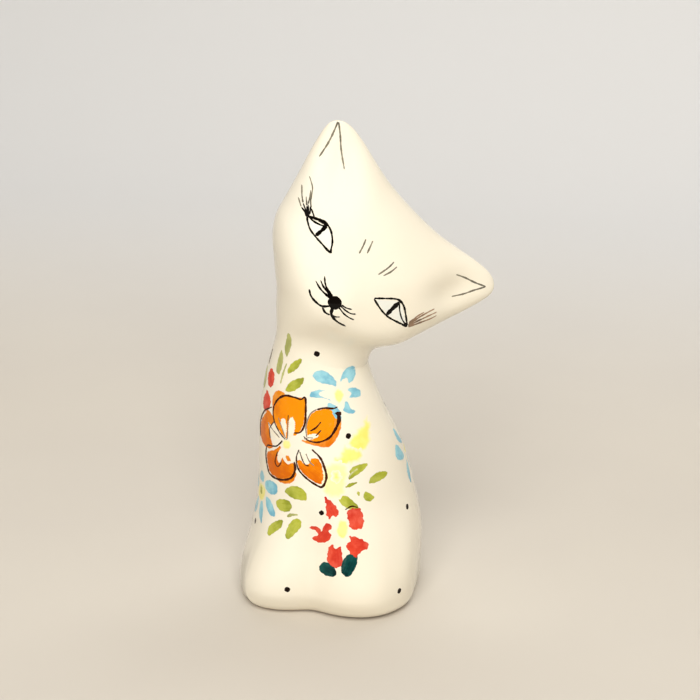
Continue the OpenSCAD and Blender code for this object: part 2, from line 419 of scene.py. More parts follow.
def whole_skin():
    """The outside of the whole cat as one closed mesh, every point on the field's surface."""
    points, faces = merged(body_tube(0, BODY_H + 13, rings=60, sides=120), head_lens())
    whole = new_piece("whole", points, faces, [], None)
    remesh = whole.modifiers.new("remesh", "REMESH")
    remesh.mode = "VOXEL"
    remesh.voxel_size = VOXEL * MM
    modified(whole)
    mesh = whole.data
    points = get_points(mesh)
    edges = read(mesh.edges, "vertices", 2, int)
    count = np.bincount(edges.ravel(), minlength=len(points))[:, None]
    flat = (points[:, 2] < FOOT_BELOW) & (skin(points)[0] < -FOOT_INSIDE)
    for _ in range(RELAX_ROUNDS):
        total = np.zeros_like(points)
        np.add.at(total, edges[:, 0], points[edges[:, 1]])
        np.add.at(total, edges[:, 1], points[edges[:, 0]])
        points = (1 - RELAX_SHARE) * points + RELAX_SHARE * total / count
        points[~flat] = settle(points[~flat], 2)[0]
        points[flat, 2] = 0
        points[:, 2] = np.maximum(points[:, 2], 0)
    points[~flat] = settle(points[~flat], 3)[0]
    points[:, 2] = np.maximum(points[:, 2], 0)
    set_points(mesh, points)
    return whole


def half_space(name, height, above):
    """A box on one side of the neck joint's plane, raised by height in the plane's upward direction."""
    tip = math.radians(NECK_TILT)
    across, up = np.array([math.cos(tip), 0, -math.sin(tip)]), np.array([math.sin(tip), 0, math.cos(tip)])
    middle = np.array([NECK_SHIFT * BODY_W, -NECK_LEAN, BODY_H]) + up * height
    low, high = (0, CUT_DEPTH) if above else (-CUT_DEPTH, 0)
    corners = [middle + across * sx * CUT_REACH + np.array([0, sy * CUT_REACH, 0]) + up * h
               for h in (low, high) for sx, sy in ((-1, -1), (1, -1), (1, 1), (-1, 1))]
    faces = [(3, 2, 1, 0), (4, 5, 6, 7)] + [(i, (i + 1) % 4, (i + 1) % 4 + 4, i + 4) for i in range(4)]
    return new_piece(name, corners, faces, [], None, False)


def glazed_normals(piece):
    """Gives the glazed outside the field's own directions as normals, so its shine is unbroken."""
    mesh = piece.data
    mesh.polygons.foreach_set("use_smooth", [True] * len(mesh.polygons))
    mesh.set_sharp_from_angle(angle=math.radians(SHARP_ANGLE))
    points = get_points(mesh)
    off, out = skin(points)
    outside = (np.abs(off) < ON_SKIN) & (points[:, 2] > 0.02)
    corners = read(mesh.loops, "vertex_index", 1, int)
    facing = np.repeat(read(mesh.polygons, "normal", 3), read(mesh.polygons, "loop_total", 1, int), 0)
    use = outside[corners] & ((facing * out[corners]).sum(1) > FACING)
    normals = np.where(use[:, None], out[corners], 0.0)
    mesh.normals_split_custom_set(normals.tolist())


def castings(glaze, biscuit, slip):
    """The body, the slip joint and the head, cut from the whole skin and hollowed."""
    whole = whole_skin()
    whole.data.materials.append(glaze)
    above = half_space("above_joint", 0, True)
    below = half_space("below_joint", LUTE, False)
    over = half_space("over_lute", LUTE, True)
    under = half_space("under_lute", 0, False)
    inside = body_tube(FLOOR, BODY_H + 15, rings=28, sides=72, inset=WALL)
    hollow = new_piece("hollow", *inside, [biscuit], None)
    skull = new_piece("skull", *ball_skin(SKULL_HOLLOW, HOLLOW_RISE), [biscuit], None)
    sides = 64
    ring = np.arange(sides) * 2 * math.pi / sides
    hole = [np.stack([POUR_HOLE * np.cos(ring), POUR_HOLE * np.sin(ring), np.full(sides, h)], -1)
            for h in (-2.0, FLOOR + 2)]
    pour = new_piece("pour", *ring_skin(hole), [biscuit], None)
    inside = body_tube(BODY_H - 6, BODY_H + 8, rings=6, sides=72, inset=WALL)
    slip_tool = new_piece("slip", *inside, [slip], None)
    for name, node_name, slot, cuts in (
        ("cat_body", "body_shell", "body_glaze", (above, hollow, pour)),
        ("neck_joint", "neck_lute", "lute_slip", (over, under, slip_tool)),
        ("cat_head", "head_shell", "head_glaze", (below, hollow, skull)),
    ):
        piece = bpy.data.objects.new(name, whole.data.copy())
        bpy.context.scene.collection.objects.link(piece)
        for tool in cuts:
            if not tool.data.materials:
                tool.data.materials.append(biscuit)
            cut(piece, tool, "DIFFERENCE")
        glazed_normals(piece)
        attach(piece, ROOT)
        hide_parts(node_name)
    for tool in (whole, above, below, over, under, hollow, skull, pour, slip_tool):
        bpy.data.objects.remove(tool)


# ---- tail ----

TAIL_ROOT, TAIL_TIP = 5.5, 3.5      # radii
TAIL_FROM, TAIL_TO = 76, 156        # angles round the body
TAIL_HIGH, TAIL_LOW, TAIL_LIFT = 11, 6.2, 3      # heights of its root and middle, and its tip's rise
TAIL_END = 0.93                     # share of its length where its tip starts to close
FLARE_FROM, FLARE = 1.6, 0.45       # how near the body and how far its clay is thumbed out
FLARE_END = 0.97                    # share of its length where the thumbing stops


def tail_angle(t):
    return TAIL_FROM + (TAIL_TO - TAIL_FROM) * t


def tail_height(t):
    return TAIL_HIGH + (TAIL_LOW - TAIL_HIGH) * ease(t / 0.35) + TAIL_LIFT * ease((t - 0.65) / 0.35)


def tail_radius(t):
    closing = np.clip(t - TAIL_END, 0, None) / (1 - TAIL_END)
    return (TAIL_ROOT + (TAIL_TIP - TAIL_ROOT) * t) * np.sqrt(np.clip(1 - closing**2, 0.0004, None))


def tail_middle(t):
    inset = -tail_radius(t) * (-1 + 1.2 * ease(t / 0.2))
    return body_point(tail_angle(t), tail_height(t), inset)


def tail(glaze):
    """The roll of clay round the back of the foot, thumbed down where it meets the body."""
    sides, rings, tip_rings, beside = 48, 110, 14, 0.01
    t = np.concatenate([np.linspace(0, TAIL_END, rings, endpoint=False),
                        TAIL_END + (1 - TAIL_END) * np.sin(np.linspace(0, np.pi / 2, tip_rings))])
    middle = tail_middle(t)
    run = tail_middle(np.minimum(t + beside, 1)) - tail_middle(np.maximum(t - beside, 0))
    run /= np.linalg.norm(run, axis=1)[:, None]
    side = np.cross(run, [0, 0, 1])
    side /= np.linalg.norm(side, axis=1)[:, None]
    lift = np.cross(side, run)
    turn = np.linspace(0, 2 * np.pi, sides, endpoint=False)
    outward = np.cos(turn)[None, :, None] * side[:, None] - np.sin(turn)[None, :, None] * lift[:, None]
    rings = middle[:, None] + tail_radius(t)[:, None, None] * outward
    points, faces = ring_skin(rings)
    off, out = distance(body_field, points)
    near = np.clip(FLARE_FROM - np.abs(off), 0, None) ** 2 * FLARE
    away = points - np.concatenate([np.repeat(middle, sides, 0), middle[:1], middle[-1:]])
    away -= (away * out).sum(1)[:, None] * out
    away /= np.linalg.norm(away, axis=1)[:, None] + 1e-6
    thumbed = np.concatenate([np.repeat(t < FLARE_END, sides), [0, 0]])
    points = points + near[:, None] * away * thumbed[:, None]
    piece = new_piece("cat_tail", points, faces, [glaze], "tail_glaze")
    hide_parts("tail")


# ---- materials ----

CREAM = (0.92, 0.875, 0.750)          # the glaze over the white clay
CREAM_THICK = (0.88, 0.795, 0.625)    # where the glaze has pooled
RIM_BROWN = (0.62, 0.43, 0.25)        # the glaze's edge, next to bare clay
CLAY = (0.78, 0.66, 0.50)
CLAY_SPOT = (0.70, 0.57, 0.42)
CLAY_GRAIN = (0.50, 0.38, 0.27)
CLAY_DAMP = (0.30, 0.22, 0.15)
GLAZE_ROUGHNESS = 0.13
CLAY_ROUGHNESS = 0.9
SHINE, PAINT_SHINE = 0.25, 0.12       # specular levels

# How many of each kind of mark there are in a metre
CLOUDS, WAVES, SMEARS, TINGE = 22, 75, 140, 900         # in the glaze's colour, height and shine
WANDER, SPOTS, GRAIN = 160, 60, 1500                    # along its rim, and in the clay
WASH, RAGGED = 330, 900                                 # in the paint, and round its edge

# Heights in metres: the foot is bare below the first, and glazed above the second
BARE, GLAZED = 0.00118, 0.00135
RIM_FROM, RIM_TO = 0.0013, 0.0022
RIM_WANDER = 0.0016


def feed(tree, socket, value):
    """Links another node's output to a socket, or sets the socket to a number or colour."""
    if isinstance(value, bpy.types.NodeSocket):
        tree.links.new(value, socket)
    else:
        socket.default_value = value


def node(tree, kind, **inputs):
    made = tree.nodes.new(kind)
    for name, value in inputs.items():
        feed(tree, made.inputs[name], value)
    return made


def rgba(colour):
    return (*colour, 1.0)


def blended(a, b, share):
    """Colour at a share of the way from a to b."""
    return tuple((1 - share) * x + share * y for x, y in zip(a, b))


def mix_colour(tree, share, a, b):
    made = tree.nodes.new("ShaderNodeMix")
    made.data_type = "RGBA"
    for socket, value in zip((made.inputs[0], made.inputs[6], made.inputs[7]), (share, a, b)):
        feed(tree, socket, value)
    return made.outputs[2]


def arithmetic(tree, operation, a, b):
    made = tree.nodes.new("ShaderNodeMath")
    made.operation = operation
    for socket, value in zip(made.inputs, (a, b)):
        feed(tree, socket, value)
    return made.outputs[0]


def ramp(tree, value, low, high, start=0.0, end=1.0):
    """Smooth step of a value from start to end as it runs from low to high."""
    made = tree.nodes.new("ShaderNodeMapRange")
    made.interpolation_type = "SMOOTHSTEP"
    for name, number in zip(("Value", "From Min", "From Max", "To Min", "To Max"),
                            (value, low, high, start, end)):
        feed(tree, made.inputs[name], number)
    return made.outputs[0]


def noise(tree, place, scale, detail=3.0, roughness=0.5):
    return node(tree, "ShaderNodeTexNoise", Vector=place, Scale=scale, Detail=detail,
                Roughness=roughness).outputs["Fac"]


def attribute(tree, name):
    made = tree.nodes.new("ShaderNodeAttribute")
    made.attribute_name = name
    return made


def bumpy(tree, shader, height, strength, distance):
    bump = node(tree, "ShaderNodeBump", Height=height, Strength=strength, Distance=distance)
    tree.links.new(bump.outputs[0], shader.inputs["Normal"])


def new_material(name, shine=SHINE):
    """A material, its node tree, its shader and the place being shaded."""
    material = bpy.data.materials.new(name)
    material.use_nodes = True
    tree = material.node_tree
    shader = tree.nodes["Principled BSDF"]
    shader.inputs["IOR"].default_value = 1.5
    shader.inputs["Specular IOR Level"].default_value = shine
    return material, tree, shader, tree.nodes.new("ShaderNodeNewGeometry").outputs["Position"]


def glaze_colour(tree, place):
    """The glaze's own colour at a place: cream, a little deeper in soft clouds."""
    clouds = ramp(tree, noise(tree, place, CLOUDS, 2.0), 0.35, 0.75)
    ground = mix_colour(tree, clouds, rgba(CREAM), rgba(blended(CREAM, CREAM_THICK, 0.45)))
    tinge = ramp(tree, noise(tree, place, TINGE, 2.0), 0.3, 0.8, 0.0, 0.05)
    return mix_colour(tree, tinge, ground, rgba(CREAM_THICK))


def glaze_roughness(tree, place):
    """The roughness of a fired glaze, which isn't quite even."""
    return ramp(tree, noise(tree, place, SMEARS), 0.3, 0.8, GLAZE_ROUGHNESS - 0.03, GLAZE_ROUGHNESS + 0.05)


def clay_look(tree, place):
    """Colour and grain of bare fired clay."""
    grain = noise(tree, place, GRAIN)
    spots = ramp(tree, noise(tree, place, SPOTS), 0.35, 0.7)
    tone = mix_colour(tree, spots, rgba(CLAY), rgba(CLAY_SPOT))
    return mix_colour(tree, ramp(tree, grain, 0.4, 0.9, 0.0, 0.35), tone, rgba(CLAY_GRAIN)), grain


def glaze_material():
    """Glaze over the whole outside, wiped off the foot so that bare clay shows there."""
    material, tree, shader, place = new_material("cream_glaze")
    height = node(tree, "ShaderNodeSeparateXYZ", Vector=place).outputs["Z"]
    wander = arithmetic(tree, "MULTIPLY", noise(tree, place, WANDER), RIM_WANDER)
    height = arithmetic(tree, "ADD", height, wander)
    bare = ramp(tree, height, BARE, GLAZED, 1.0, 0.0)
    clay, grain = clay_look(tree, place)
    rim = ramp(tree, height, RIM_FROM, RIM_TO, 0.5, 0.0)
    glaze = mix_colour(tree, rim, glaze_colour(tree, place), rgba(RIM_BROWN))
    tree.links.new(mix_colour(tree, bare, glaze, clay), shader.inputs["Base Color"])
    dull = arithmetic(tree, "MULTIPLY", bare, 0.85)
    tree.links.new(arithmetic(tree, "MAXIMUM", glaze_roughness(tree, place), dull),
                   shader.inputs["Roughness"])
    gritty = arithmetic(tree, "MULTIPLY", arithmetic(tree, "MULTIPLY", grain, bare), 0.6)
    bumpy(tree, shader, arithmetic(tree, "ADD", noise(tree, place, WAVES, 2.0), gritty), 0.10, 0.0008)
    return material


def biscuit_material(name, damp):
    """Bare fired clay, for the hollow inside and the pour hole, and a little darker for the slip."""
    material, tree, shader, place = new_material(name)
    clay, grain = clay_look(tree, place)
    tree.links.new(mix_colour(tree, damp, clay, rgba(CLAY_DAMP)), shader.inputs["Base Color"])
    shader.inputs["Roughness"].default_value = CLAY_ROUGHNESS
    bumpy(tree, shader, grain, 0.25, 0.0003)
    return material


def paint_material(name, light, dark, cover, soft, streak, pool):
    """Ceramic colour under the glaze. cover is how much it hides, over 1 where its thin places hide
    all too, soft how many millimetres its edge takes to fade, streak how strongly the brush's marks
    show, pool how much darker its edge dries."""
    material, tree, shader, place = new_material(name, PAINT_SHINE)
    ragged = arithmetic(tree, "SUBTRACT", noise(tree, place, RAGGED / (0.7 + soft)), 0.55)
    ragged = arithmetic(tree, "MULTIPLY", ragged, 0.1 + soft)
    depth = arithmetic(tree, "ADD", attribute(tree, "edge").outputs["Fac"], ragged)
    hairs = noise(tree, attribute(tree, "stroke").outputs["Vector"], 1.0, 4.0, 0.6)
    mixed = arithmetic(tree, "ADD", arithmetic(tree, "MULTIPLY", hairs, streak),
                       arithmetic(tree, "MULTIPLY", noise(tree, place, WASH), 1.0 - streak))
    swing = ramp(tree, mixed, 0.32, 0.68, -0.28, 0.28)
    tone = arithmetic(tree, "ADD", attribute(tree, "tone").outputs["Fac"], swing)
    colour = mix_colour(tree, ramp(tree, tone, 0.0, 1.0), rgba(light), rgba(dark))
    rim = ramp(tree, depth, soft * 0.4, soft * 0.4 + 0.6, pool, 0.0)
    colour = mix_colour(tree, rim, colour, rgba(tuple(0.6 * c for c in dark)))
    hiding = ramp(tree, mixed, 0.25, 0.6, cover * (1 - 0.25 * streak), cover)
    hiding = arithmetic(tree, "MULTIPLY", ramp(tree, depth, 0.0, max(soft, 0.02)), hiding)
    tree.links.new(mix_colour(tree, hiding, glaze_colour(tree, place), colour), shader.inputs["Base Color"])
    tree.links.new(glaze_roughness(tree, place), shader.inputs["Roughness"])
    bumpy(tree, shader, noise(tree, place, WAVES, 2.0), 0.10, 0.0008)
    return material


def srgb(r, g, b):
    """A colour from its 0 to 255 values on a screen."""
    return tuple(((c / 255 + 0.055) / 1.055) ** 2.4 if c > 10 else c / 255 / 12.92 for c in (r, g, b))


# Light and dark shade, then cover, soft, streak and pool
PIGMENTS = {
    "orange": ((248, 148, 2), (218, 106, 2), 1.05, 0.10, 0.35, 0.12),
    "orange_wash": ((240, 148, 12), (220, 110, 4), 1.00, 0.22, 0.4, 0.10),
    "outline": ((70, 26, 8), (30, 9, 3), 1.04, 0.05, 0.3, 0.0),
    "outline_thin": ((96, 66, 40), (50, 30, 16), 0.85, 0.08, 0.4, 0.0),
    "white": ((254, 248, 230), (244, 232, 210), 0.95, 0.10, 0.3, 0.0),
    "blue": ((152, 216, 232), (98, 174, 204), 0.95, 0.28, 0.25, 0.08),
    "green": ((182, 188, 44), (136, 146, 6), 0.96, 0.22, 0.3, 0.06),
    "sage": ((182, 188, 98), (142, 148, 58), 0.90, 0.22, 0.3, 0.05),
    "yellow": ((253, 245, 124), (250, 236, 84), 0.88, 1.5, 0.0, 0.0),
    "yellow_wash": ((253, 249, 160), (248, 240, 124), 0.68, 1.7, 0.0, 0.0),
    "yellow_dab": ((252, 246, 134), (246, 236, 100), 0.80, 0.8, 0.0, 0.0),
    "red": ((228, 68, 38), (200, 34, 18), 0.98, 0.08, 0.25, 0.10),
    "teal": ((22, 82, 78), (0, 30, 34), 1.03, 0.12, 0.3, 0.0),
    "dot": ((24, 11, 8), (6, 3, 2), 1.06, 0.06, 0.2, 0.0),
    "ink": ((14, 10, 8), (4, 3, 2), 1.06, 0.03, 0.2, 0.0),
    "grey_ink": ((112, 106, 86), (56, 52, 42), 0.92, 0.04, 0.3, 0.0),
    "brown_ink": ((150, 104, 62), (66, 38, 20), 0.90, 0.05, 0.4, 0.0),
    "eye_white": ((238, 243, 240), (228, 236, 234), 0.65, 0.4, 0.2, 0.0),
}


def pigments():
    """Every ceramic colour of the painting, by name."""
    return {name: paint_material("paint_" + name, srgb(*light), srgb(*dark), *rest)
            for name, (light, dark, *rest) in PIGMENTS.items()}


# ---- painting ----

PAINT_STEP = 0.35      # spacing of the points of a painted patch
PAINT_UP = 0.03        # height of the paint over the skin
LAYER_UP = 0.02        # further height for each layer over another
LINE_GROW = 0.20       # width a line loses at its sunken edges, given back
MARK_UP = 0.0012       # further height for each mark after another
SUNK = 0.012           # depth of the paint's edge under the skin
SLAB = 0.10            # depth of the paint's underside
LINE_STEP = 0.3        # spacing of the points along a line
LINE_ROWS = (1, 0.55, 0, -0.55, -1)     # where its rows of points lie, as shares of half its width
LINE_DEPTHS = (0, 0.45, 1, 0.45, 0)     # how far each row lies from the edge, as shares too
FACE_SHIFT = 0.3       # the face is painted a hair off the head's own middle
FADE = 0.5             # how much lighter a line ends than it starts


def curve(knots, closed, step=PAINT_STEP):
    """Points about step apart on a smooth curve through knots."""
    knots = np.array(knots, float)
    n = len(knots)
    ends = [2 * knots[0] - knots[1], 2 * knots[-1] - knots[-2]]

    def knot(i):
        if closed:
            return knots[i % n]
        return ends[0] if i < 0 else ends[1] if i >= n else knots[i]
    points = []
    for i in range(n if closed else n - 1):
        steps = max(2, math.ceil(math.dist(knot(i), knot(i + 1)) / step))
        points += [through(knot(i - 1), knot(i), knot(i + 1), knot(i + 2), j / steps) for j in range(steps)]
    return np.array(points if closed else points + [knots[-1]])


def brushed(loop, amount, wave):
    """Moves a closed outline a little in and out, as a brush leaves it."""
    luck = np.random.default_rng(int(abs(loop[0] @ [317, 179]) * 10))
    gap = np.linalg.norm(np.roll(loop, -1, 0) - loop, axis=1)
    turn = np.cumsum(gap) / gap.sum() * 2 * np.pi
    side = (np.roll(loop, -1, 0) - np.roll(loop, 1, 0))[:, ::-1] * [1, -1]
    side /= np.linalg.norm(side, axis=1)[:, None] + 1e-9
    shift = sum(np.sin(turn * round(gap.sum() / (wave / k) + 1) + luck.uniform(0, 6.3)) / k
                for k in (1, 1.7, 3))
    return loop + side * (shift * amount / 2)[:, None]


def edge_gap(points, loop):
    """Distance of points from a closed outline, and whether they lie inside it."""
    a, b = loop, np.roll(loop, -1, 0)
    run = b - a
    share = ((points[:, None] - a) * run).sum(-1) / ((run**2).sum(-1) + 1e-12)
    foot = a + np.clip(share, 0, 1)[..., None] * run
    gap = np.linalg.norm(points[:, None] - foot, axis=-1).min(1)
    x, y = points[:, :1], points[:, 1:]
    cross = (a[:, 1] > y) != (b[:, 1] > y)
    at = a[:, 0] + (y - a[:, 1]) * run[:, 0] / np.where(run[:, 1] == 0, 1e-9, run[:, 1])
    return gap, (cross & (x < at)).sum(1) % 2 == 1


def filled(loop, step=PAINT_STEP):
    """Points and triangles that fill a closed outline, and each point's distance from its edge."""
    low, high = loop.min(0), loop.max(0)
    rows = np.arange(low[1], high[1], step * 0.87)
    grid = np.array([(x + (k % 2) * step / 2, y) for k, y in enumerate(rows)
                     for x in np.arange(low[0], high[0], step)]).reshape(-1, 2)
    gap, inside = edge_gap(grid, loop)
    grid = grid[inside & (gap > step * 0.5)]
    points = [Vector(p) for p in np.concatenate([loop, grid])]
    made = geometry.delaunay_2d_cdt(points, [], [list(range(len(loop)))], 1, 1e-4, False)
    points = np.array(made[0])
    return points, [tuple(f) for f in made[2]], edge_gap(points, loop)[0]


def on_body(angle, ring, turn=0):
    """Turns flat places round a point of the body, seen from outside, into points of its surface.
    The flat places are first turned anticlockwise by turn, in degrees."""
    middle, out = settle(body_point([angle], [ring]))
    middle, out = middle[0], out[0]
    right = np.cross([0, 0, 1], out)
    right /= np.linalg.norm(right)
    up = np.cross(out, right)
    c, s = math.cos(math.radians(turn)), math.sin(math.radians(turn))
    right, up = c * right + s * up, c * up - s * right

    def place(flat):
        return slide(middle + flat[:, :1] * right + flat[:, 1:] * up, out, 9)
    return place


def on_face(flat):
    """Turns places on the head's front into points of its surface."""
    return slide(face_point(flat[:, 0] + FACE_SHIFT, flat[:, 1] + FACE_SHIFT), -HEAD_AXES[1], 5, 1.0)


def sheet_of_paint(flat, faces, place, up, rim):
    """A thin closed slab of paint lying on the skin. Points listed in rim are its sunken edge."""
    points, out = place(flat)
    lift = np.full(len(flat), up)
    lift[rim] = -SUNK
    top, below = points + out * lift[:, None], points - out * SLAB
    n = len(flat)
    a, b, c = flat[np.array(faces).T]
    area = (b - a)[:, 0] * (c - a)[:, 1] - (b - a)[:, 1] * (c - a)[:, 0]
    faces = [f if size > 0 else f[::-1] for f, size in zip(faces, area) if abs(size) > 1e-9]
    once = {}
    for f in faces:
        for a, b in zip(f, f[1:] + f[:1]):
            once[(a, b)] = once.get((a, b), 0) + 1
    walls = [(b, a, a + n, b + n) for a, b in once if (b, a) not in once]
    every = faces + [tuple(i + n for i in f[::-1]) for f in faces] + walls
    return np.concatenate([top, below]), every, np.concatenate([out, out])


def patch(place, knots, up, rough, tone, shade):
    """A filled brush mark from the knots of its outline. tone runs from 0, light, to 1, dark, and
    rises in the direction shade, in degrees."""
    loop = brushed(curve(knots, True), *rough)
    flat, faces, gap = filled(loop)
    points, faces, out = sheet_of_paint(flat, faces, place, up, gap < 0.02)
    centred = flat - flat.mean(0)
    turn = np.linalg.svd(centred, full_matrices=False)[2]
    way = np.array([math.cos(math.radians(shade)), math.sin(math.radians(shade))])
    reach = centred @ way
    tone = tone + 0.3 * reach / (np.abs(reach).max() + 1e-6)
    stroke = (centred @ turn.T) * [0.25, 2.2] + knots[0][0]
    return points, faces, out, np.tile(gap, 2), np.tile(tone, 2), np.tile(stroke, (2, 1))


def line(place, knots, widths, up):
    """A brush line through knots. widths are its widths from start to end, evenly spread."""
    spine = curve(knots, False, LINE_STEP)
    gap = np.concatenate([[0], np.cumsum(np.linalg.norm(np.diff(spine, axis=0), axis=1))])
    share = gap / gap[-1]
    width = np.interp(share, np.linspace(0, 1, len(widths)), widths)
    luck = np.random.default_rng(int(abs(spine[0] @ [131, 57]) * 10))
    waver = 1 + 0.14 * np.sin(gap * 2.1 + luck.uniform(0, 6)) + 0.08 * np.sin(gap * 5.3)
    near_end = (1 - np.minimum(gap, gap[-1] - gap) / (widths[0] + 0.1)).clip(0)
    round_end = np.sqrt(np.clip(1 - near_end**2, 0.05, 1))
    run = np.gradient(spine, axis=0)
    side = run[:, ::-1] * [-1, 1] / (np.linalg.norm(run, axis=1)[:, None] + 1e-9)
    n = len(spine)
    half = ((width + LINE_GROW) * waver * round_end / 2)[:, None]
    flat = np.concatenate([spine + side * half * k for k in LINE_ROWS])
    faces = [(a + i, a + i + 1, a + n + i + 1, a + n + i) for a in range(0, 4 * n, n) for i in range(n - 1)]
    faces = [t for f in faces for t in ((f[0], f[2], f[1]), (f[0], f[3], f[2]))]
    rim = np.zeros(5 * n, bool)
    rim[:n] = rim[4 * n:] = rim[::n] = rim[n - 1::n] = True
    points, faces, out = sheet_of_paint(flat, faces, place, up, rim)
    deep = np.concatenate([half[:, 0] * k for k in LINE_DEPTHS])
    stroke = np.stack([np.tile(gap * 0.5, 5), np.repeat(np.arange(5), n) * 0.8], -1)
    return points, faces, out, np.tile(deep, 2), np.tile(0.7 - FADE * share, 10), np.tile(stroke, (2, 1))


def painting(name, slot, colours, marks):
    """One painted motif as a piece. Each mark is a colour's name and a patch or line."""
    used = list(dict.fromkeys(colour for colour, _ in marks))
    points, faces = merged(*[made[:2] for _, made in marks])
    out, edge, tone, stroke = (np.concatenate(parts) for parts in zip(*[made[2:] for _, made in marks]))
    mesh = new_piece(name, points, faces, [colours[c] for c in used], slot).data
    which = [used.index(colour) for colour, made in marks for _ in made[1]]
    mesh.polygons.foreach_set("material_index", which)
    mesh.attributes.new("edge", "FLOAT", "POINT").data.foreach_set("value", edge)
    mesh.attributes.new("tone", "FLOAT", "POINT").data.foreach_set("value", tone)
    stroke = np.column_stack([stroke, np.zeros(len(stroke))])
    mesh.attributes.new("stroke", "FLOAT_VECTOR", "POINT").data.foreach_set("vector", stroke.ravel())
    mesh.normals_split_custom_set_from_vertices(out.tolist())


class Painter:
    """Collects the marks of one motif, each a hair higher than the last so that none fight. Its
    lines are weight times as wide as they say."""

    def __init__(self, place):
        self.place, self.weight, self.marks = place, 1.0, []

    def height(self, layer):
        return PAINT_UP + LAYER_UP * layer + MARK_UP * len(self.marks)

    def fill(self, colour, *knots, layer=0, rough=(0.12, 2.2), tone=0.4, shade=270):
        self.marks.append((colour, patch(self.place, knots, self.height(layer), rough, tone, shade)))

    def line(self, colour, *knots, widths=(0.4, 0.4), layer=2):
        widths = [self.weight * width for width in widths]
        self.marks.append((colour, line(self.place, knots, widths, self.height(layer))))

    def dot(self, colour, x, y, radius, layer=1):
        turns = np.arange(0, 6.2, 0.785)
        knots = [(x + radius * math.cos(a), y + radius * math.sin(a)) for a in turns]
        self.fill(colour, *knots, layer=layer, rough=(0.08, 2.0))


# ---- the motifs on the body: flat places in millimetres from each one's middle ----

